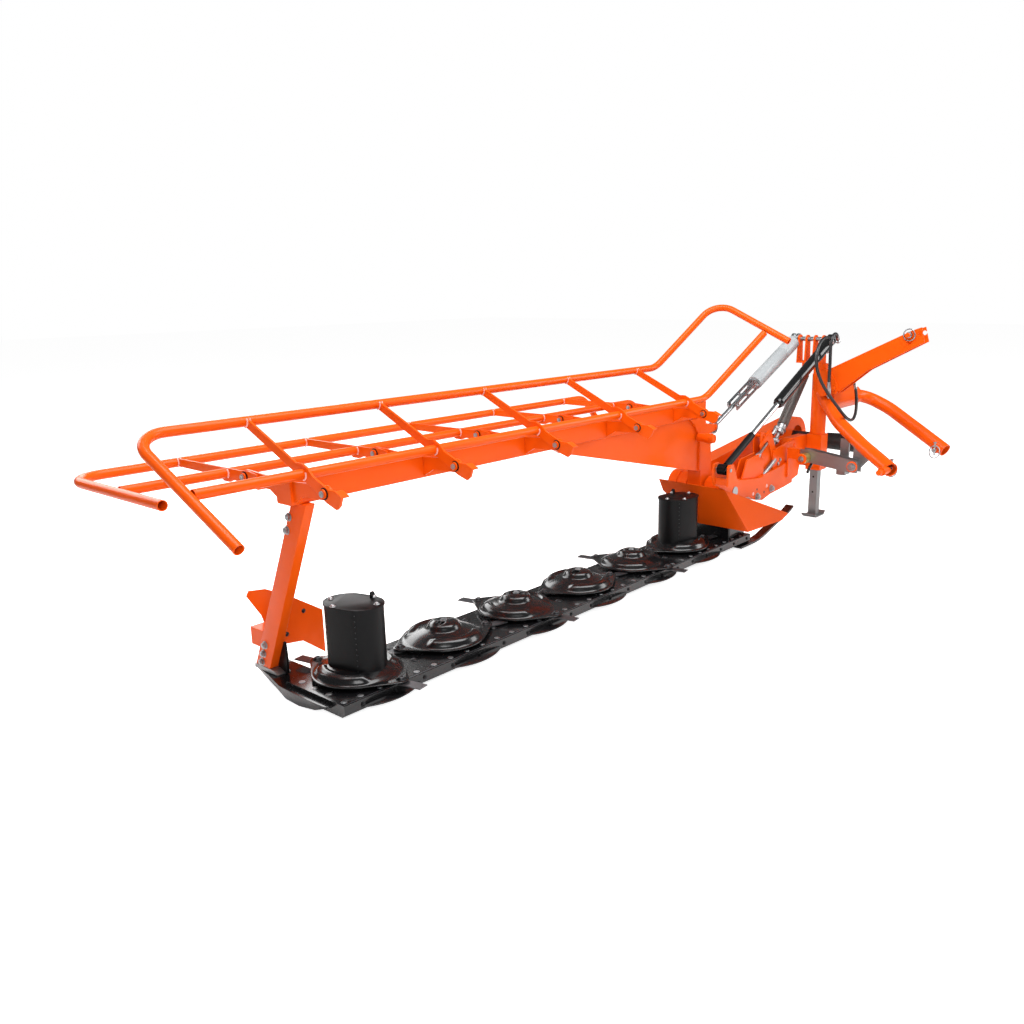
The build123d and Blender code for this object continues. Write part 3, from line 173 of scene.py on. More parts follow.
# Lamps in the frame, in metres: place, the point it faces, width, height, share of the lamp power
LAMPS = {
    "overhead": ((-0.6, -0.6, 4.2), (0.0, 0.0, 0.5), 5.5, 2.2, 1.25),
    "front_left": ((-4.2, -3.6, 2.6), (-0.4, 0.0, 0.5), 2.4, 2.4, 0.55),
    "right": ((3.8, -3.0, 2.4), (1.0, 0.0, 0.5), 2.0, 2.4, 0.4),
    "behind": ((-0.5, 4.2, 2.4), (0.0, 0.0, 0.6), 5.0, 1.6, 0.5),
}
FLOOR_REACH = 30
FLOOR_HEIGHT = -0.001
FLOOR_WHITE = 0.9
FLOOR_GLOW = 0.84


def at(x, y, z):
    """Point in the frame, in metres, from millimetres off the first disc's axis on the ground."""
    return Vector((x, y, z)) / 1000 + FIRST_DISC


def put_in(name, data):
    """A new object in the scene."""
    piece = bpy.data.objects.new(name, data)
    bpy.context.scene.collection.objects.link(piece)
    return piece


def empty_tree(owner):
    """Clears the node tree of a material or a world, ready for new nodes."""
    owner.use_nodes = True
    owner.node_tree.nodes.clear()
    return Shade(owner.node_tree, None)


def add_node(tree, kind, settings, values):
    """Adds a node, sets it up, then fills its inputs with numbers or with other nodes' outputs; returns it."""
    made = tree.nodes.new(kind)
    for name, value in (settings or {}).items():
        setattr(made, name, value)
    for name, value in values.items():
        place = made.inputs[int(name[1:])] if name[0] == "_" else made.inputs[name.replace("_", " ")]
        source = value.socket if isinstance(value, Shade) else value
        if isinstance(source, bpy.types.NodeSocket):
            tree.links.new(source, place)
        else:
            place.default_value = source
    return made


class Shade:
    """A node socket in a material that takes arithmetic, and makes the nodes it needs."""

    def __init__(self, tree, socket):
        self.tree = tree
        self.socket = socket

    def node(self, kind, settings=None, **values):
        """A new node of this material."""
        return add_node(self.tree, kind, settings, values)

    def out(self, made, name=0):
        """One output of a node, as a value that takes arithmetic."""
        return Shade(self.tree, made.outputs[name])

    def maths(self, operation, first, second):
        """Result of a Math node."""
        return self.out(self.node("ShaderNodeMath", {"operation": operation}, _0=first, _1=second))

    def __add__(self, other):
        return self.maths("ADD", self, other)

    def __radd__(self, other):
        return self.maths("ADD", other, self)

    def __sub__(self, other):
        return self.maths("SUBTRACT", self, other)

    def __rsub__(self, other):
        return self.maths("SUBTRACT", other, self)

    def __mul__(self, other):
        return self.maths("MULTIPLY", self, other)

    def __rmul__(self, other):
        return self.maths("MULTIPLY", other, self)

    def ramp(self, low, high):
        """0 below low, 1 above high, smooth between them."""
        settings = {"interpolation_type": "SMOOTHSTEP", "clamp": True}
        return self.out(self.node("ShaderNodeMapRange", settings, Value=self, From_Min=low, From_Max=high))

    def mix(self, first, second):
        """A colour between first and second, by this value."""
        colours = {
            "_" + str(place): value if isinstance(value, Shade) else (*value, 1.0)
            for place, value in ((6, first), (7, second))
        }
        return self.out(self.node("ShaderNodeMix", {"data_type": "RGBA"}, _0=self, **colours), 2)

    def noise(self, scale, detail=3.0, roughness=0.55):
        """Cloudy pattern on these coordinates, from 0 to 1."""
        made = self.node("ShaderNodeTexNoise", None, Vector=self, Scale=scale, Detail=detail, Roughness=roughness)
        return self.out(made)

    def cells(self, scale):
        """Distance to the nearest of many scattered points."""
        return self.out(self.node("ShaderNodeTexVoronoi", None, Vector=self, Scale=scale))

    def stretched(self, x, y, z):
        """These coordinates, scaled apart along the three axes."""
        return self.out(self.node("ShaderNodeMapping", None, Vector=self, Scale=(x, y, z)))


def tint(colour, share, lift=0.0):
    """A colour made darker or lighter, and greyer by the lift."""
    return tuple(min(1.0, part * share + lift) for part in colour)


def finish(name, build):
    """Makes a material: build gets its coordinates and shader node and fills in the shader's sockets."""
    start = empty_tree(bpy.data.materials.new(name))
    shader = start.node("ShaderNodeBsdfPrincipled")
    start.node("ShaderNodeOutputMaterial", None, _0=shader.outputs[0])
    place = start.out(start.node("ShaderNodeTexCoord"), "Object")

    def wear(socket, value):
        """Feeds one of the shader's sockets."""
        if isinstance(value, Shade):
            start.tree.links.new(value.socket, shader.inputs[socket])
        else:
            shader.inputs[socket].default_value = value

    def relief(height, depth, rounding):
        """Surface relief over edges that look rounded by that radius in metres."""
        edge = place.out(place.node("ShaderNodeBevel", {"samples": 4}, Radius=rounding))
        bump = place.node("ShaderNodeBump", None, Strength=1.0, Distance=depth, Height=height, Normal=edge)
        wear("Normal", place.out(bump))

    build(place, wear, relief)


def paint(name, colour, rough, coat, rounding=0.0015, shine=0.32):
    """Sprayed gloss paint: faint mottling, fine ripple, a little dust that dulls it in places."""

    def build(place, wear, relief):
        clouds = place.noise(5.0)
        dust = place.noise(23.0, 6.0, 0.7).ramp(0.55, 0.8)
        wear(
            "Base Color",
            (dust * 0.3).mix(clouds.mix(tint(colour, 0.90), tint(colour, 1.06)), tint(colour, 1.15, 0.004)),
        )
        wear("Roughness", rough + clouds * 0.08 + dust * 0.12)
        wear("Coat Weight", coat)
        wear("Coat Roughness", 0.1)
        wear("Specular IOR Level", shine)
        relief(place.noise(420.0, 2.0) * 0.6 + place.noise(60.0, 2.0), 0.00012, rounding)

    finish(name, build)


def metal(name, colour, rough, streak=(1.0, 1.0, 1.0), stain=(0.2, 0.19, 0.18), stained=0.25):
    """Bare or plated metal with fine grain along one way and dull stains."""

    def build(place, wear, relief):
        grain = place.stretched(*streak).noise(160.0, 4.0, 0.6)
        patches = place.noise(38.0, 5.0, 0.65).ramp(0.45, 0.75)
        wear("Base Color", (patches * stained).mix(grain.mix(tint(colour, 0.82), tint(colour, 1.12)), stain))
        wear("Metallic", 1.0)
        wear("Roughness", rough + grain * 0.16 + patches * 0.1)
        relief(grain, 0.00006, 0.0006)

    finish(name, build)


def rubber(name, colour, rough, grain_depth):
    """Black moulded rubber or plastic with a soft grain."""

    def build(place, wear, relief):
        grain = place.cells(900.0)
        bloom = place.noise(30.0, 5.0, 0.6).ramp(0.4, 0.8)
        wear("Base Color", (bloom * 0.35).mix(colour, tint(colour, 2.4, 0.01)))
        wear("Roughness", rough + bloom * 0.12)
        relief(grain, grain_depth, 0.001)

    finish(name, build)


def weld_bead(name, colour):
    """Painted weld: rippled ridges across the bead."""

    def build(place, wear, relief):
        ripple = place.cells(260.0)
        wear("Base Color", ripple.ramp(0.1, 0.6).mix(colour, tint(colour, 0.6, 0.42)))
        wear("Roughness", 0.24 + ripple * 0.2)
        wear("Coat Weight", 0.5)
        relief(ripple, 0.0009, 0.0005)

    finish(name, build)


class Shape:
    """A mesh under way, made from simple solids whose sizes are in millimetres and places in metres."""

    def __init__(self):
        self.mesh = bmesh.new()

    def ring(self, centre, first, second, radius, sides):
        """Ring of points round a centre, on two square directions."""
        turns = [2 * pi * i / sides for i in range(sides)]
        return [self.mesh.verts.new(centre + (first * cos(turn) + second * sin(turn)) * radius) for turn in turns]

    def skin(self, rings, closed=False):
        """Faces between rings that follow each other, with flat ends unless the row is closed."""
        for low, high in zip(rings, rings[1:] + ([rings[0]] if closed else [])):
            for i in range(len(low)):
                j = (i + 1) % len(low)
                self.mesh.faces.new((low[i], low[j], high[j], high[i]))
        if not closed:
            self.mesh.faces.new(list(reversed(rings[0])))
            self.mesh.faces.new(rings[-1])
        return self

    def loft(self, rows):
        """Closed skin over rows of points that follow each other."""
        return self.skin([[self.mesh.verts.new(point) for point in row] for row in rows])

    def lathe(self, profile, origin, way, sides):
        """Turned solid: profile rows are (distance along way, radius)."""
        way = Vector(way).normalized()
        first = way.orthogonal().normalized()
        second = way.cross(first)
        return self.skin(
            [self.ring(origin + way * along / 1000, first, second, radius / 1000, sides) for along, radius in profile]
        )

    def tube(self, points, radius, sides, closed=False):
        """Round bar along points that are close together."""
        count = len(points)
        rings = []
        side = None
        for i, point in enumerate(points):
            before = points[i - 1] if i or closed else points[0]
            after = points[(i + 1) % count] if i < count - 1 or closed else points[-1]
            way = (after - before).normalized()
            if side is None:
                side = way.orthogonal().normalized()
            side = (side - way * side.dot(way)).normalized()
            rings.append(self.ring(point, side, way.cross(side), radius / 1000, sides))
        return self.skin(rings, closed)

    def prism(self, outline, depth, edge=1.2):
        """Flat plate: an outline of points in the frame, swept along depth, with eased edges."""
        low = [self.mesh.verts.new(point) for point in outline]
        high = [self.mesh.verts.new(point + depth) for point in outline]
        self.skin([low, high])
        if edge:
            rim = {line for point in low + high for line in point.link_edges}
            eased = {"offset": edge / 1000, "segments": 2, "profile": 0.7, "clamp_overlap": True}
            bmesh.ops.bevel(self.mesh, geom=list(rim), affect="EDGES", **eased)
        return self

    def done(self, name, look, body, replaced=(), angle=35, slot=None):
        """Turns the mesh into a finished piece that rides a body; the slot argument is not used."""
        bmesh.ops.remove_doubles(self.mesh, verts=self.mesh.verts, dist=1e-7)
        bmesh.ops.recalc_face_normals(self.mesh, faces=self.mesh.faces)
        data = bpy.data.meshes.new(name)
        self.mesh.to_mesh(data)
        self.mesh.free()
        piece = put_in(name, data)
        data.materials.append(bpy.data.materials[look])
        data.shade_smooth()
        data.set_sharp_from_angle(angle=radians(angle))
        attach(piece, body)
        if replaced:
            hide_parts(*replaced)


def turned(name, look, body, profile, origin, way, sides, slot=None):
    """A piece turned round one axis; profile rows are (distance along way, radius)."""
    Shape().lathe(profile, origin, way, sides).done(name, look, body, slot=slot)


def arc(centre, first, second, radius, start, end, steps):
    """Points on an arc, angles in degrees, radius in millimetres."""
    turns = [radians(start + (end - start) * i / steps) for i in range(steps + 1)]
    return [centre + (first * cos(turn) + second * sin(turn)) * radius / 1000 for turn in turns]


def seat_on(places, name):
    """Loose points with the way each repeated part faces, for a node tree to work on."""
    data = bpy.data.meshes.new(name)
    data.from_pydata([tuple(point) for point, aim in places], [], [])
    way = data.attributes.new("aim", "FLOAT_VECTOR", "POINT")
    way.data.foreach_set("vector", [value for point, aim in places for value in Vector(aim).normalized()])
    return put_in(name, data)


class Tree:
    """A geometry node tree with named inputs."""

    def __init__(self, name, inputs):
        self.tree = bpy.data.node_groups.new(name, "GeometryNodeTree")
        self.tree.interface.new_socket("Geometry", in_out="INPUT", socket_type="NodeSocketGeometry")
        for title, kind, default in inputs:
            socket = self.tree.interface.new_socket(title, in_out="INPUT", socket_type=kind)
            if default is not None:
                socket.default_value = default
        self.tree.interface.new_socket("Geometry", in_out="OUTPUT", socket_type="NodeSocketGeometry")
        self.start = self.tree.nodes.new("NodeGroupInput")
        self.end = self.tree.nodes.new("NodeGroupOutput")

    def node(self, kind, settings=None, **values):
        """A new node of this tree."""
        return add_node(self.tree, kind, settings, values)

    def maths(self, operation, first, second):
        """Result of a Math node."""
        return self.node("ShaderNodeMath", {"operation": operation}, _0=first, _1=second).outputs[0]

    def lifted(self, geometry, height):
        """Geometry moved up by a height socket."""
        up = self.node("ShaderNodeCombineXYZ", None, Z=height).outputs[0]
        return self.node("GeometryNodeTransform", None, Geometry=geometry, Translation=up).outputs[0]

    def join(self, parts):
        """Parts joined into one."""
        joined = self.node("GeometryNodeJoinGeometry")
        for part in parts:
            self.tree.links.new(part, joined.inputs[0])
        return joined.outputs[0]

    def finish(self, copies, look, smooth):
        """Makes copies real, gives them the material and sends them out."""
        real = self.node("GeometryNodeRealizeInstances", None, Geometry=copies).outputs[0]
        shaded = self.node("GeometryNodeSetShadeSmooth", None, Geometry=real, Shade_Smooth=smooth).outputs[0]
        painted = self.node("GeometryNodeSetMaterial", None, Geometry=shaded, Material=look).outputs[0]
        self.tree.links.new(painted, self.end.inputs[0])
        return self.tree


def fastener_tree(kind):
    """Bolt heads of one kind on washers, one on each point, facing its aim."""
    sizes = [(title, "NodeSocketFloat", default) for title, default in HEAD_SIZES.items()]
    made = Tree(kind + "_heads", [*sizes, ("Finish", "NodeSocketMaterial", None)])
    given = made.start.outputs
    radius, height, washer, thick = (given[title] for title in HEAD_SIZES)

    def disc(sides, across, depth, middle):
        """A turned or six-sided solid with its middle at a height."""
        solid = made.node("GeometryNodeMeshCylinder", None, Vertices=sides, Radius=across, Depth=depth)
        return made.lifted(solid.outputs[0], middle)

    parts = [disc(20, washer, thick, made.maths("MULTIPLY", thick, 0.5))]
    middle = made.maths("ADD", thick, made.maths("MULTIPLY", height, 0.5))
    if kind == "hex":
        tip_middle = made.maths("ADD", middle, made.maths("MULTIPLY", height, 0.45))
        parts.append(disc(6, radius, height, middle))
        parts.append(disc(12, made.maths("MULTIPLY", radius, 0.52), height, tip_middle))
    elif kind == "dome":
        ball = made.node("GeometryNodeMeshUVSphere", None, Segments=20, Rings=10, Radius=radius).outputs[0]
        flat = made.node("ShaderNodeCombineXYZ", None, X=1.0, Y=1.0, Z=made.maths("DIVIDE", height, radius))
        low = made.node("GeometryNodeTransform", None, Geometry=ball, Scale=flat.outputs[0])
        parts.append(made.lifted(low.outputs[0], thick))
    else:
        parts.append(disc(16, radius, height, middle))
    aim = made.node("GeometryNodeInputNamedAttribute", {"data_type": "FLOAT_VECTOR"}, Name="aim").outputs[0]
    turn = made.node("FunctionNodeAlignRotationToVector", {"axis": "Z"}, Vector=aim).outputs[0]
    copies = made.node(
        "GeometryNodeInstanceOnPoints", None, Points=given["Geometry"], Instance=made.join(parts), Rotation=turn
    )
    return made.finish(copies.outputs[0], given["Finish"], kind == "dome")


def run_tree(piece, tree, values):
    """Puts a tree on an object, gives its inputs, and leaves the result on the object as a plain mesh."""
    modifier = piece.modifiers.new(tree.name, "NODES")
    modifier.node_group = tree
    for item in tree.interface.items_tree:
        if item.item_type == "SOCKET" and item.in_out == "INPUT" and item.name in values:
            modifier[item.identifier] = values[item.name]
    piece.update_tag()
    bpy.context.view_layer.update()
    seen = piece.evaluated_get(bpy.context.evaluated_depsgraph_get())
    data = bpy.data.meshes.new_from_object(seen)
    data.name = piece.name
    piece.modifiers.remove(modifier)
    piece.data = data


def fasteners(name, kind, places, body, look, sizes):
    """Repeated bolt heads as one piece on one body.

    Places are (point, way it faces); sizes are head radius, head height, washer radius and washer height.
    """
    piece = seat_on(places, name)
    tree = bpy.data.node_groups.get(kind + "_heads") or fastener_tree(kind)
    values = {title: size / 1000 for title, size in zip(HEAD_SIZES, sizes)}
    run_tree(piece, tree, {**values, "Finish": bpy.data.materials[look]})
    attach(piece, body)


def front_guard_point(x, reach, drop):
    """Point on the opened front guard, by its own reach and drop."""
    y = FRONT_HINGE + reach * cos(GUARD_OPEN) - drop * sin(GUARD_OPEN)
    z = HINGE_HEIGHT + reach * sin(GUARD_OPEN) + drop * cos(GUARD_OPEN)
    return at(x, y, z)


def rear_guard_point(x, reach, drop):
    """Point on the rear guard, by its own reach and drop."""
    return at(x, REAR_HINGE + reach, HINGE_HEIGHT - drop)


class MowerFinishes(bpy.types.PropertyGroup):
    """Colours and gloss of the machine's paint and metal."""

    orange: FloatVectorProperty(
        name="Frame paint", description="Colour of the painted frame", default=(0.76, 0.084, 0.002), subtype="COLOR"
    )
    black: FloatVectorProperty(
        name="Bar paint", description="Colour of the bar and discs", default=(0.0045, 0.0045, 0.005), subtype="COLOR"
    )
    gloss: FloatProperty(
        name="Paint roughness", description="How dull the paint is", default=0.27, min=0.05, max=0.8, subtype="FACTOR"
    )


class MowerDiscs(bpy.types.PropertyGroup):
    """Pressed shape of the discs."""

    bulge: FloatProperty(
        name="Bulge height", description="Height of the pressed crescents", default=0.013, unit="LENGTH"
    )
    spokes: IntProperty(name="Steps round", description="Faces round a disc", default=120, min=48, max=240)


class MowerSprings(bpy.types.PropertyGroup):
    """Coil of the float spring."""

    wire: FloatProperty(name="Wire", description="Thickness of the spring wire", default=0.0060, unit="LENGTH")
    turns: IntProperty(name="Turns", description="Turns of the spring", default=47, min=5, max=60)


class MowerStage(bpy.types.PropertyGroup):
    """Camera and light."""

    lens: FloatProperty(name="Lens", description="Focal length in millimetres", default=32.37, min=10, max=200)
    lamp: FloatProperty(name="Lamp power", description="Power that the lamps share out", default=245.0, unit="POWER")
    ambient: FloatProperty(name="Room light", description="Strength of the even light", default=0.16, min=0, max=3)


class MOWER_OT_finishes(bpy.types.Operator):
    """Make the materials and put them on the machine's solids"""

    bl_idname = "mower.finishes"
    bl_label = "Paint and metal"

    def execute(self, context):
        look = context.scene.mower_finishes
        orange = tuple(look.orange)
        black = tuple(look.black)
        paint("orange_gloss", orange, look.gloss, 0.06, shine=0.14)
        # Darker copy of the frame paint for the drive hood: painted shade, since its panels face down away from the
        # lamps
        paint("orange_painted_shade", tint(orange, 0.78), look.gloss + 0.06, 0.0, shine=0.12)
        paint("black_gloss", black, 0.2, 0.35)
        paint("black_sheet", tint(black, 0.8), 0.33, 0.0, shine=0.14)
        weld_bead("orange_weld", orange)
        metal("zinc_plate", (0.40, 0.41, 0.42), 0.24)
        metal("yellow_zinc", (0.56, 0.42, 0.13), 0.3)
        metal("hard_chrome", (0.78, 0.79, 0.81), 0.1, stained=0.06)
        metal("raw_steel", (0.085, 0.08, 0.076), 0.32, streak=(1.0, 1.0, 0.06))
        metal("blade_steel", (0.30, 0.30, 0.29), 0.36, streak=(0.1, 1.0, 1.0), stained=0.45)
        metal("spring_paint", (0.20, 0.185, 0.175), 0.3)
        metal("black_oxide", (0.035, 0.035, 0.037), 0.3, stained=0.1)
        paint("silver_housing", (0.36, 0.38, 0.39), 0.3, 0.1)
        rubber("black_rubber", (0.006, 0.006, 0.0065), 0.46, 0.0002)
        rubber("hose_rubber", (0.010, 0.010, 0.011), 0.34, 0.0001)
        for part in frame["record"]["subparts"]:
            own = OWN_LOOKS.get(part["node"], SLOT_LOOKS[part["material_slot"]][0])
            materials = NODES[part["node"]].data.materials
            materials.clear()
            materials.append(bpy.data.materials[own])
        self.ease()
        return {"FINISHED"}

    def ease(self):
        """Joins the solids' points and shades them smooth, but for their sharp edges."""
        sizes = (("Join Distance", "NodeSocketFloat", 1e-5), ("Sharp Angle", "NodeSocketFloat", radians(32)))
        tree = Tree("eased_solids", sizes)
        solid, distance, sharp = (tree.start.outputs[title] for title in ("Geometry", "Join Distance", "Sharp Angle"))
        joined = tree.node("GeometryNodeMergeByDistance", None, Geometry=solid, Distance=distance).outputs[0]
        soft = tree.node("GeometryNodeSetShadeSmooth", {"domain": "FACE"}, Geometry=joined, Shade_Smooth=True)
        angle = tree.node("GeometryNodeInputMeshEdgeAngle").outputs[0]
        under = tree.node("FunctionNodeCompare", {"operation": "LESS_THAN"}, A=angle, B=sharp).outputs[0]
        crisp = tree.node(
            "GeometryNodeSetShadeSmooth", {"domain": "EDGE"}, Geometry=soft.outputs[0], Shade_Smooth=under
        )
        tree.tree.links.new(crisp.outputs[0], tree.end.inputs[0])
        for solid in NODES.values():
            solid.modifiers.new("eased", "NODES").node_group = tree.tree


def disc_outline(turn):
    """Distance from the axis to the disc's rim, for a direction measured from its ears."""
    off = abs((turn + pi / 2) % pi - pi / 2)
    lean = (DISC_WAIST - EAR_RADIUS) / EAR_REACH
    tangent = atan2(sqrt(1 - lean**2), lean)
    ear_end = atan2(EAR_RADIUS * sin(tangent), EAR_REACH + EAR_RADIUS * cos(tangent))
    if off < ear_end:
        return EAR_REACH * cos(off) + sqrt(EAR_RADIUS**2 - (EAR_REACH * sin(off)) ** 2)
    if off < tangent:
        return DISC_WAIST / cos(off - tangent)
    return DISC_WAIST


def profile_height(radius):
    """Height of the disc's turned form at a radius."""
    for (inner, high), (outer, low) in zip(DISC_PROFILE, DISC_PROFILE[1:]):
        if radius <= outer:
            share = (radius - inner) / (outer - inner)
            return high + (low - high) * share
    return DISC_PROFILE[-1][1]


def smooth_step(value, low, high):
    """0 at low, 1 at high, eased."""
    share = min(1.0, max(0.0, (value - low) / (high - low)))
    return share * share * (3 - 2 * share)


def disc_height(index, radius, turn, bulge):
    """Height of the pressed disc: turned form, two crescents and the pockets beside the hub nut."""
    side = abs(abs((turn + pi) % (2 * pi) - pi) - pi / 2)
    across = smooth_step(24 - abs(radius - CRESCENT_RADIUS), 0, 15)
    height = profile_height(radius) + bulge * (smooth_step(CRESCENT_SPAN - side, 0, CRESCENT_FADE) * across)
    if index not in DRUM_DISCS:
        for way in (POCKET_TURN, pi + POCKET_TURN):
            x = radius * cos(turn) - POCKET_REACH * cos(way)
            y = radius * sin(turn) - POCKET_REACH * sin(way)
            off = hypot(x * cos(way) + y * sin(way), POCKET_SLIM * (y * cos(way) - x * sin(way)))
            height -= POCKET_DEPTH * smooth_step(24 - off, 0, 9)
    return height


def disc_point(index, radius, turn, height):
    """Point on a disc, by its distance from the axis and its direction from the ears."""
    way = radians(DISC_ANGLES[index]) + turn
    return at(index * DISC_PITCH + radius * cos(way), radius * sin(way), height)


def rim_radius(turn, share):
    """Distance from the axis, for a share of the way from the turned form out to the rim."""
    return DISC_RADII[-1] + (disc_outline(turn) - DISC_RADII[-1]) * share


def flattened(width, share=1.0):
    """Half width of a drum, drawn in where its sheet is nearly flat."""
    if width <= DRUM_FLAT * share:
        return width
    return (DRUM_FLAT + (width - DRUM_FLAT) * DRUM_SOFTNESS) * share


def drum_edge(turn, share):
    """Place on the drum's oval, in millimetres along its long and its short side."""
    width = flattened(abs(DRUM_SHORT * share * sin(turn)), share)
    return DRUM_LONG * share * cos(turn), copysign(width, sin(turn))


class MOWER_OT_discs(bpy.types.Operator):
    """Model the pressed knife discs, their drums and bolts"""

    bl_idname = "mower.discs"
    bl_label = "Discs and drums"

    def execute(self, context):
        setup = context.scene.mower_discs
        bulge = setup.bulge * 1000
        turns = [2 * pi * step / setup.spokes for step in range(setup.spokes)]
        for index in range(DISC_COUNT):
            body = f"rotor_{index + 1}"
            top = [
                [disc_point(index, radius, turn, disc_height(index, radius, turn, bulge)) for turn in turns]
                for radius in DISC_RADII
            ]
            rim = [
                [disc_point(index, rim_radius(turn, share), turn, height) for turn in turns]
                for share, height in RIM_ROWS
            ]
            Shape().loft(top + rim).done(f"pressed_disc_{index + 1}", "black_gloss", body, [f"disc_{index + 1}"], 50)
            ears = [(disc_point(index, EAR_REACH, turn, SHEET_TOP), UP) for turn in (pi, 0)]
            fasteners(f"ear_bolts_{index + 1}", "dome", ears, body, "black_oxide", (13.5, 10, 19, 1.2))
            if index in DRUM_DISCS:
                self.drum(index, body)
            else:
                hub = [(at(index * DISC_PITCH, 0, HUB_TOP), UP)]
                fasteners(f"hub_nut_{index + 1}", "hex", hub, body, "zinc_plate", (10, 5, 14, 2))
        return {"FINISHED"}

    def drum(self, index, body):
        """Oval crop drum on a disc: rolled sheet with two flat sides, lid, seams and four lid bolts."""
        base = radians(DISC_ANGLES[index])
        across = Vector((cos(base), sin(base), 0))
        beside = Vector((-sin(base), cos(base), 0))
        centre = at(index * DISC_PITCH, 0, 0)

        def on_drum(x, y, height):
            """Point by the drum's own axes."""
            return centre + (across * x + beside * y) / 1000 + UP * height / 1000

        turns = [2 * pi * step / DRUM_STEPS for step in range(DRUM_STEPS)]
        rows = [[on_drum(*drum_edge(turn, share), height) for turn in turns] for height, share in DRUM_ROWS]
        Shape().loft(rows).done(f"crop_drum_{index + 1}", "black_sheet", body, angle=30)
        spots = [(radians(turn), reach) for turn, reach in LID_BOLTS]
        lid = [(on_drum(reach * cos(turn), reach * sin(turn), DRUM_TOP), UP) for turn, reach in spots]
        fasteners(f"lid_bolts_{index + 1}", "dome", lid, body, "zinc_plate", (8, 7, 11, 1.5))
        seam = [
            (on_drum(x, side * flattened(DRUM_SHORT * sqrt(1 - (x / DRUM_LONG) ** 2)), height), beside * side)
            for height in range(118, 319, 20)
            for x in (-SEAM_OFF, SEAM_OFF)
            for side in (-1, 1)
        ]
        fasteners(f"seam_welds_{index + 1}", "flat", seam, body, "black_oxide", (2.4, 0.6, 3.0, 0.3))
        tab = ((-84, 337), (-54, 337), (-54, 359), (-72, 359))
        Shape().prism([on_drum(-30, y, height) for y, height in tab], across * 0.004).done(
            f"drum_tab_{index + 1}", "black_sheet", body
        )


class MOWER_OT_bar(bpy.types.Operator):
    """Put bolts, plugs, spindle flanges, skids and the seam on the cutter bar"""

    bl_idname = "mower.bar"
    bl_label = "Cutter bar fittings"

    def execute(self, context):
        front = [(at(x, -148, BAR_TOP), UP) for x in range(-108, 2480, 82)]
        end = [(at(x, y, BAR_TOP), UP) for x, y in ((-165, 99), (-167, 22), (-166, -55), (-175, -147))]
        fasteners("bar_edge_bolts", "flat", front + end, "cutter", "zinc_plate", (8, 1.2, 11, 0.8))
        nuts = [(at(x, -171, 52), AHEAD) for x in range(-120, 2470, 136)]
        fasteners("bar_front_nuts", "hex", nuts, "cutter", "black_oxide", (8, 6, 10, 1))
        plugs = [
            (at(index * DISC_PITCH + x, y, BAR_TOP), UP)
            for index in range(DISC_COUNT)
            for x, y in ((205, -60), (205, 90), (150, 120))
        ]
        fasteners("bar_plugs", "dome", plugs, "cutter", "black_oxide", (11, 4, 15, 1.5))
        flange = ((70.2, 96), (72, 98), (76, 98), (78, 94), (79, 62), (83.5, 60), (83.8, 50))
        for index in range(DISC_COUNT):
            axis = at(index * DISC_PITCH, 0, 0)
            turned(f"spindle_flange_{index + 1}", "raw_steel", "cutter", flange, axis, UP, 48, "black_paint")
        self.skids()
        seam = ((-190, -166), (2490, -166), (2490, -169), (-190, -169))
        Shape().prism([at(x, y, BAR_TOP) for x, y in seam], UP * 0.0009, 0).done("bar_seam", "blade_steel", "cutter")
        return {"FINISHED"}

    def skids(self):
        """Pressed skids under the bar: a thin rim with a bowl that slopes to the ground, open behind the bar."""
        shape = Shape()
        end = at(SKID_END, 0, 0).x
        turns = [pi + pi * step / SKID_STEPS for step in range(SKID_STEPS + 1)]
        for index in range(DISC_COUNT):
            rows = []
            for height, radius in SKID_PROFILE:
                row = [at(index * DISC_PITCH + radius * cos(turn), radius * sin(turn), height) for turn in turns]
                for point in row:
                    point.x = max(point.x, end - radius * 1e-6)
                rows.append(row)
            shape.loft(rows)
        shape.done("pressed_skids", "black_gloss", "cutter", ["skid_lobes"], 40)


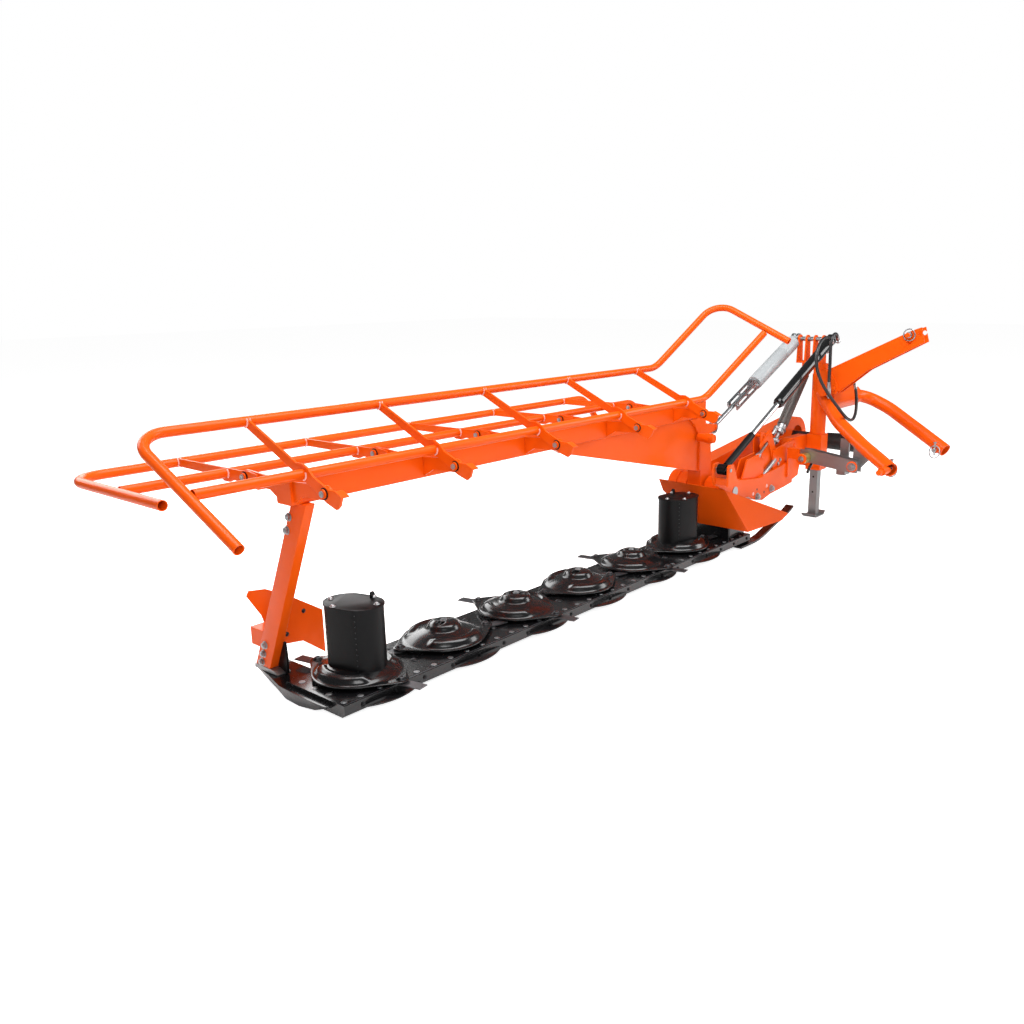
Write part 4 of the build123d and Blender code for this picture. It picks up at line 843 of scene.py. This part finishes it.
class MOWER_OT_leg(bpy.types.Operator):
    """Fit the outer leg with its foot, gusset and bolts, and the outer shoe"""

    bl_idname = "mower.leg"
    bl_label = "Outer leg and shoe"

    def execute(self, context):
        tube = ((280, 72), (368, 72), (62, 713), (-18, 713))
        foot = ((376, 56), (376, 71.5), (262, 71.5), (236, 60), (236, 56))
        gusset = ((282, 58), (268, 112), (240, 176), (224, 176), (219, 112), (222, 58))
        self.plate("leaning_leg", "orange_gloss", tube, LEG_FACE, 0.038, 5, ["outer_leg"])
        self.plate("leg_foot", "raw_steel", foot, LEG_FACE, 0.056, 1.5)
        self.shoe()
        spots = ((295.5, 159.4), (309, 124), (323.5, 89.7), (80, 661), (98, 612))
        bolts = [(at(LEG_FACE, y, z), OUTWARD) for y, z in spots]
        fasteners("leg_bolts", "hex", bolts, "cutter", "zinc_plate", (12, 8, 15, 2))
        self.plate("leg_gusset", "black_sheet", gusset, -140, 0.008, 1.2)
        bolts = [(at(60, 394, 200), AHEAD), (at(-20, 394, 130), AHEAD)]
        fasteners("board_bolts", "dome", bolts, "cutter", "black_oxide", (7, 4, 9, 1))
        return {"FINISHED"}

    def plate(self, name, look, outline, x, width, edge, replaced=()):
        """Plate or tube with an outline of (y, z), that goes inwards from x by a width in metres."""
        shape = Shape().prism([at(x, y, z) for y, z in outline], INWARD * width, edge)
        shape.done(name, look, "cutter", replaced)

    def shoe(self):
        """Worn skid shoe outside the bar: thin rim, sides drawn in to a rounded bottom that rises to the front."""
        rim = (
            (-195.5, -114), (-210, -112), (-220, -96), (-222, -20), (-220, 76), (-215.5, 164), (-187, 268),
            (-159, 398), (-58, 392), (-54, 150.5), (-195.5, 150.5),
        )
        base = (
            (-195.5, -100, 43), (-198, -98, 43), (-201, -80, 36), (-202, -20, 14), (-200, 76, 0), (-195, 160, 0),
            (-166, 258, 2), (-142, 372, 14), (-78, 366, 14), (-76, 150.5, 0), (-195.5, 150.5, 0),
        )
        shape = Shape().loft([[at(*point) for point in base], *([at(x, y, z) for x, y in rim] for z in (51, 55.6))])
        bmesh.ops.triangulate(shape.mesh, faces=shape.mesh.faces)
        shape.done("worn_shoe", "black_gloss", "cutter", ["outer_shoe"], 40, "raw_steel")


class MOWER_OT_guards(bpy.types.Operator):
    """Fit hinge washers, hinge bolts and weld beads on both guards"""

    bl_idname = "mower.guards"
    bl_label = "Guard fittings"

    def execute(self, context):
        for side, point in (("front", front_guard_point), ("rear", rear_guard_point)):
            body = f"{side}_guard"
            beads = Shape()
            for x in BRACKETS:
                out = (point(x, 1, 0) - point(x, 0, 0)).normalized()
                drop = (point(x, 0, 1) - point(x, 0, 0)).normalized()
                for reach, start, end in ((OUTER_RAIL, 120, 240), (INNER_RAIL, 130, 230)):
                    for shift in (-5.5, 5.5):
                        centre = point(x, reach, 0) + Vector((shift / 1000, 0, 0))
                        beads.tube(arc(centre, out, drop, 18.5, start, end, 9), 3.0, 8)
            washers = [(point(x - 4, 0, 0), OUTWARD) for x in BRACKETS]
            fasteners(f"{side}_hinge_washers", "flat", washers, body, "black_sheet", (17, 1.5, 19, 1.5))
            bolts = [(place + OUTWARD * 0.003, aim) for place, aim in washers]
            fasteners(f"{side}_hinge_bolts", "hex", bolts, body, "zinc_plate", (11, 8, 13, 1.5))
            beads.done(f"{side}_guard_welds", "orange_weld", body)
        return {"FINISHED"}


class MOWER_OT_lift(bpy.types.Operator):
    """Dress the lift cylinder, the relief spring and the float spring"""

    bl_idname = "mower.lift"
    bl_label = "Cylinder and springs"

    def execute(self, context):
        self.cylinder()
        self.relief()
        self.float_spring(context.scene.mower_springs)
        return {"FINISHED"}

    def cylinder(self):
        """Weld rings, end gland and the two hose ports of the lift cylinder."""
        top = at(MAST_PIN[0], CYLINDER_Y, MAST_PIN[1])
        way = (at(CYLINDER_EYE[0], CYLINDER_Y, CYLINDER_EYE[1]) - top).normalized()
        up = way.cross(AHEAD)
        welds = Shape()
        for along in (42, 120, 640, 676):
            welds.lathe(((along, 29.6), (along + 2, 30), (along + 6, 30), (along + 8, 29.6)), top, way, 40)
        welds.done("barrel_welds", "black_sheet", "cylinder")
        gland = ((700, 29.8), (702, 29.8), (708, 27), (716, 25), (718, 22), (718, 14.3), (700, 14.3))
        turned("barrel_gland", "black_gloss", "cylinder", gland, top, way, 40)
        port = ((0, 10), (12, 10), (14, 8), (22, 8), (24, 6))
        for along in (70, 655):
            wall = top + way * along / 1000 - up * 0.026
            turned(f"barrel_port_{along}", "zinc_plate", "cylinder", port, wall, -up, 24)

    def relief(self):
        """Sleeve over the closed coil of the relief spring, and the bolts of its clevis."""
        top = at(MAST_PIN[0], RELIEF_Y, MAST_PIN[1])
        way = (at(RELIEF_EYE[0], RELIEF_Y, RELIEF_EYE[1]) - top).normalized()
        sleeve = (
            (50.8, 20), (51, 36), (53, 39.5), (57, 41), (190, 41), (192, 40.2), (196, 40.2), (198, 41),
            (538, 41), (545, 39), (549.4, 34), (549.6, 12),
        )
        turned("relief_housing", "silver_housing", "relief", sleeve, top, way, 56)
        bolts = [
            (top + way * along / 1000 + Vector((0, side * 0.029, 0)), (0, side, 0))
            for along in (568, 800)
            for side in (-1, 1)
        ]
        fasteners("clevis_bolts", "hex", bolts, "relief", "zinc_plate", (8, 6, 10, 1.5))

    def float_spring(self, setup):
        """Open coil round the float rod, with its nut, its lock nut and the thread below them."""
        low = at(FLOAT_LOW[0], FLOAT_Y, FLOAT_LOW[1])
        high = at(FLOAT_HIGH[0], FLOAT_Y, FLOAT_HIGH[1])
        way = (high - low).normalized()
        side = -AHEAD
        other = way.cross(side)
        start, end = 0.2, (high - low).length - 0.046
        steps = setup.turns * 18
        points = []
        for i in range(steps + 1):
            share = i / steps
            turn = 2 * pi * setup.turns * share
            round_rod = (side * cos(turn) + other * sin(turn)) * COIL_RADIUS / 1000
            points.append(low + way * (start + (end - start) * share) + round_rod)
        Shape().tube(points, setup.wire * 500, 8).done("float_coil", "spring_paint", "swing", ["float_spring"], 60)
        Shape().lathe(((140, 24), (142, 26.5), (160, 26.5), (162, 24)), low, way, 6).lathe(
            ((163, 22), (163.5, 33), (168, 33), (168.5, 22)), low, way, 40
        ).done("float_nut", "zinc_plate", "swing")
        turned("float_lock_nut", "zinc_plate", "swing", ((76, 19), (78, 21), (94, 21), (96, 19)), low, way, 6)
        thread = Shape()
        for row in range(26):
            along = 26 + row * 4.2
            thread.lathe(((along, 9.9), (along + 1.4, 11.6), (along + 2.8, 9.9)), low, way, 24)
        thread.done("float_thread", "zinc_plate", "swing")


class MOWER_OT_head(bpy.types.Operator):
    """Fit bolts, pins, rings and the latch parts on the carrier, the mast and the hitch arms"""

    bl_idname = "mower.head"
    bl_label = "Head fittings"

    def execute(self, context):
        self.carrier()
        self.latch()
        self.mast()
        self.arms()
        return {"FINISHED"}

    def carrier(self):
        """Bolts and weld dots on the carrier's front cheek, black discs of painted shade over each hole in it, and
        the ear with its pins above it.
        """
        for name, kind, look, sizes, spots in (
            ("cheek_bolts", "hex", "zinc_plate", (16, 12, 21, 2.5), ((2820, 259), (2657, 241))),
            ("cheek_weld_dots", "dome", "orange_weld", (9, 3, 11, 0.5), ((2612, 262), (2768, 282))),
            # Black discs over each hole in the cheek: painted shade for the dark inside
            ("cheek_hole_shade_discs", "flat", "black_rubber", (6, 0.3, 6.5, 0.3), ((2654, 281), (2738, 252))),
        ):
            fasteners(name, kind, [(at(x, CARRIER_FACE, z), AHEAD) for x, z in spots], "swing", look, sizes)
        ear = (
            (2835, 592), (2812, 585), (2715, 512), (2725, 500), (2800, 535), (2840, 470), (2862, 425), (2930, 425),
        )
        plate = Shape().prism([at(x, FLOAT_Y - 33, z) for x, z in ear], AHEAD * 0.008, 2)
        plate.done("carrier_ear", "orange_gloss", "swing")
        stay = ((0, 8), (2, 9), (88, 9), (96, 13), (116, 15), (120, 13))
        headed = ((-14, 13), (-12, 15), (0, 15), (2, 10), (44, 10), (46, 9))
        rod = ((0, 11), (2, 13), (150, 13), (152, 11))
        for name, profile, start, end, sides in (
            ("carrier_stay", stay, at(2803, FLOAT_Y - 34, 516), at(2700, FLOAT_Y - 34, 455), 24),
            ("carrier_latch_pin", headed, at(2908, FLOAT_Y - 34, 584), at(2856, FLOAT_Y - 34, 540), 20),
            ("carrier_bolt_rod", rod, at(2752, FLOAT_Y - 44, 345), at(2890, FLOAT_Y - 44, 412), 28),
        ):
            turned(name, "zinc_plate", "swing", profile, start, end - start, sides)
        bolts = [(at(x, FLOAT_Y - 42, z), AHEAD) for x, z in ((2946, 403), (2921, 383))]
        fasteners("ear_bolts", "hex", bolts, "swing", "zinc_plate", (11, 8, 14, 2))

    def latch(self):
        """Plated sleeve, bolts and handle of the catch that holds the carrier to the hitch."""
        y, z = LATCH
        sleeve = ((0, 24), (1, 30), (55, 30), (56, 24))
        turned("latch_sleeve", "yellow_zinc", "hitch", sleeve, at(2933, y - 12, z - 12), INWARD, 36)
        disc = ((0, 28), (1, 30), (5, 30), (6, 28))
        for name, bolt, x, place, sizes in (
            ("latch_cap", "latch_cap_bolt", 2926, (y - 12, z - 12), (13, 9, 17, 2)),
            ("latch_lug", "latch_bolt", 2982, LATCH_BOLT, (15, 11, 24, 4)),
        ):
            turned(name, "orange_gloss", "hitch", disc, at(x, *place), INWARD, 36)
            fasteners(bolt, "hex", [(at(x - 0.4, *place), OUTWARD)], "hitch", "zinc_plate", sizes)
        bends = ((3046, y - 30, 400), (3020, y - 34, 388), (2985, y - 38, 368), (2955, y - 40, 345))
        handle = [at(*bend) for bend in bends]
        Shape().tube(handle, 8, 16).done("latch_handle", "black_gloss", "hitch")

    def mast(self):
        """Ends and bushings of the mast pin, and the bolts at both ends of the upper arm."""
        x, z = MAST_PIN
        nut = ((0, 19), (1, 22), (11, 22), (12, 19))
        turned("mast_nut", "zinc_plate", "swing", nut, at(x, -224, z), AHEAD, 6)
        bushings = Shape()
        for shift in (23, -8):
            bushings.lathe(((0, 19), (1, 31), (14, 31), (15, 19)), at(x, RELIEF_Y + shift, z), AHEAD, 36)
        bushings.done("relief_eye_faces", "zinc_plate", "relief", slot="grey_coil")
        bolts = [(at(3262, -274, 789), OUTWARD), (at(3263, *STOW_PIN), OUTWARD)]
        fasteners("mast_bolts", "hex", bolts, "hitch", "zinc_plate", (13, 9, 17, 2))

    def arms(self):
        """Link rings and linch pins at the ends of the hitch arms, and black discs of painted shade over each hole in
        the stand's leg.
        """
        side = -AHEAD
        tilted = Vector((0.15, 0, 1)).normalized()
        rings = Shape()
        turns = [2 * pi * i / 24 for i in range(24)]
        for x in LINCH_PINS:
            middle = at(x, *HITCH_PIN)
            ring = [middle + (side * cos(turn) * 0.030 + tilted * sin(turn) * 0.036) - UP * 0.012 for turn in turns]
            rings.tube(ring, 3.2, 10, closed=True)
        tip = at(3258, *STOW_PIN)
        turns = [2 * pi * i / 32 for i in range(32)]
        rings.tube([tip + (side * cos(turn) + UP * sin(turn)) * 0.031 for turn in turns], 3.2, 10, closed=True)
        rings.lathe(((-8, 15), (-6, 17), (10, 17), (11, 12), (22, 12), (24, 10)), tip, OUTWARD, 28)
        rings.done("linch_rings", "zinc_plate", "hitch")
        # Black discs over each hole in the stand's leg: painted shade for the dark inside
        hole_shades = [(at(STAND_FACE, -145, z), OUTWARD) for z in STAND_HOLES]
        fasteners("stand_hole_shade_discs", "flat", hole_shades, "stand", "black_rubber", (6, 0.1, 6.2, 0.1))
        pins = Shape()
        for x in LINCH_PINS:
            pins.lathe(((-34, 4), (-32, 5), (38, 5), (39, 9), (46, 9), (47, 7)), at(x, *HITCH_PIN), UP, 16)
            pins.lathe(((-22, 10), (-20, 12), (6, 12), (8, 10)), at(x, *HITCH_PIN), INWARD, 24)
        pins.done("linch_pins", "zinc_plate", "hitch")


class MOWER_OT_hoses(bpy.types.Operator):
    """Hang the two hydraulic hoses and their fittings"""

    bl_idname = "mower.hoses"
    bl_label = "Hoses"

    def execute(self, context):
        for name, route, length in (("loop_hose", LOOP_ROUTE, 1.17), ("drop_hose", DROP_ROUTE, 0.46)):
            curve = bpy.data.curves.new(name, "CURVE")
            curve.dimensions = "3D"
            curve.bevel_depth = HOSE_DIAMETER / 2
            curve.bevel_resolution = 5
            curve.resolution_u = 10
            curve.use_fill_caps = True
            line = curve.splines.new("NURBS")
            line.points.add(len(route) - 1)
            for point, place in zip(line.points, route):
                point.co = (*at(*place), 1.0)
            line.order_u = 3
            line.use_endpoint_u = True
            piece = put_in(name, curve)
            curve.materials.append(bpy.data.materials["hose_rubber"])
            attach(piece, "hitch")
            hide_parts("hoses")
            for end, (near, next_place) in (("start", route[:2]), ("end", route[:-3:-1])):
                self.fitting(name, end, at(*near), at(*next_place))
        return {"FINISHED"}

    def fitting(self, name, end, near, next_place):
        """Crimped sleeve on a hose's end, with a collar where there is room for one."""
        way = (near - next_place).normalized()
        crimp = 78 if (name, end) == ("drop_hose", "end") else 34
        collar = () if (name, end) == ("loop_hose", "start") else ((1, 13), (11, 13), (12, 9), (20, 9))
        profile = ((-crimp, 9.2), (2 - crimp, 10.6), (-8, 10.6), (-6, 9.5), (0, 9.5), *collar)
        sides = 6 if end == "end" else 24
        turned(f"{name}_{end}_fitting", "zinc_plate", "hitch", profile, near + way * 0.004, way, sides)


class MOWER_OT_stage(bpy.types.Operator):
    """Set up the camera, floor and soft light"""

    bl_idname = "mower.stage"
    bl_label = "Stage"

    def execute(self, context):
        setup = context.scene.mower_stage
        scene = context.scene
        scene.view_settings.view_transform = "Standard"
        self.camera(scene, setup)
        self.lamps(scene, setup)
        self.floor()
        return {"FINISHED"}

    def camera(self, scene, setup):
        """Camera at the photograph's place."""
        yaw, pitch, roll = CAMERA_YAW, CAMERA_PITCH, CAMERA_ROLL
        ahead = Vector((cos(pitch) * cos(yaw), cos(pitch) * sin(yaw), -sin(pitch)))
        right = Vector((sin(yaw), -cos(yaw), 0))
        up = right.cross(ahead)
        right, up = right * cos(roll) - up * sin(roll), right * sin(roll) + up * cos(roll)
        camera = put_in("camera", bpy.data.cameras.new("camera"))
        camera.data.lens = setup.lens
        camera.data.shift_x = CAMERA_SHIFT
        camera.data.clip_start = 0.05
        turned = Matrix((right, up, -ahead)).transposed().to_4x4()
        camera.matrix_world = Matrix.Translation(CAMERA_PLACE) @ turned
        scene.camera = camera

    def lamps(self, scene, setup):
        """Wide soft lamps over and beside the machine, and even light all round."""
        for name, (place, aim, width, height, power) in LAMPS.items():
            lamp = bpy.data.lights.new(name, "AREA")
            lamp.shape = "RECTANGLE"
            lamp.size, lamp.size_y = width, height
            lamp.energy = setup.lamp * power
            holder = put_in(name, lamp)
            holder.location = place
            holder.rotation_euler = (Vector(aim) - Vector(place)).to_track_quat("-Z", "Y").to_euler()
        world = bpy.data.worlds.new("room")
        scene.world = world
        start = empty_tree(world)
        rays = start.node("ShaderNodeLightPath")
        strength = start.out(rays, "Is Camera Ray") * (1.0 - setup.ambient) + setup.ambient
        background = start.node("ShaderNodeBackground", None, Color=(1.0, 1.0, 1.0, 1.0), Strength=strength)
        start.node("ShaderNodeOutputWorld", None, _0=background.outputs[0])

    def floor(self):
        """Pale floor that keeps only the machine's soft shadow."""
        data = bpy.data.meshes.new("floor")
        edges = ((-1, -1), (1, -1), (1, 1), (-1, 1))
        data.from_pydata([(x * FLOOR_REACH, y * FLOOR_REACH, FLOOR_HEIGHT) for x, y in edges], [], [(0, 1, 2, 3)])
        piece = put_in("floor", data)
        look = bpy.data.materials.new("pale_floor")
        start = empty_tree(look)
        matt = start.node("ShaderNodeBsdfDiffuse", None, Color=(*[FLOOR_WHITE] * 3, 1.0)).outputs[0]
        glow = start.node("ShaderNodeEmission", None, Color=(*[FLOOR_GLOW] * 3, 1.0), Strength=1.0).outputs[0]
        lifted = start.node("ShaderNodeAddShader", None, _0=matt, _1=glow).outputs[0]
        seen = start.out(start.node("ShaderNodeLightPath"), "Is Camera Ray")
        both = start.node("ShaderNodeMixShader", None, _0=seen, _1=matt, _2=lifted)
        start.node("ShaderNodeOutputMaterial", None, _0=both.outputs[0])
        data.materials.append(look)


class MOWER_PT_looks(bpy.types.Panel):
    """The mower's looks, piece by piece"""

    bl_idname = "MOWER_PT_looks"
    bl_label = "Disc mower"
    bl_space_type = "VIEW_3D"
    bl_region_type = "UI"
    bl_category = "Disc mower"

    def draw(self, context):
        for group in GROUPS:
            box = self.layout.box()
            for title in getattr(context.scene, group).__annotations__:
                box.prop(getattr(context.scene, group), title)
        for step in STEPS:
            self.layout.operator(step.bl_idname)


GROUPS = {
    "mower_finishes": MowerFinishes,
    "mower_discs": MowerDiscs,
    "mower_springs": MowerSprings,
    "mower_stage": MowerStage,
}
STEPS = (
    MOWER_OT_finishes,
    MOWER_OT_stage,
    MOWER_OT_hoses,
    MOWER_OT_discs,
    MOWER_OT_bar,
    MOWER_OT_leg,
    MOWER_OT_guards,
    MOWER_OT_lift,
    MOWER_OT_head,
)


def register():
    for made in (*GROUPS.values(), *STEPS, MOWER_PT_looks):
        bpy.utils.register_class(made)
    for name, group in GROUPS.items():
        setattr(bpy.types.Scene, name, PointerProperty(type=group))


def unregister():
    for name in GROUPS:
        delattr(bpy.types.Scene, name)
    for made in reversed((*GROUPS.values(), *STEPS, MOWER_PT_looks)):
        bpy.utils.unregister_class(made)


def main():
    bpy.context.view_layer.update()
    register()
    for step in STEPS:
        group, name = step.bl_idname.split(".")
        getattr(getattr(bpy.ops, group), name)()


if __name__ == "__main__":
    main()
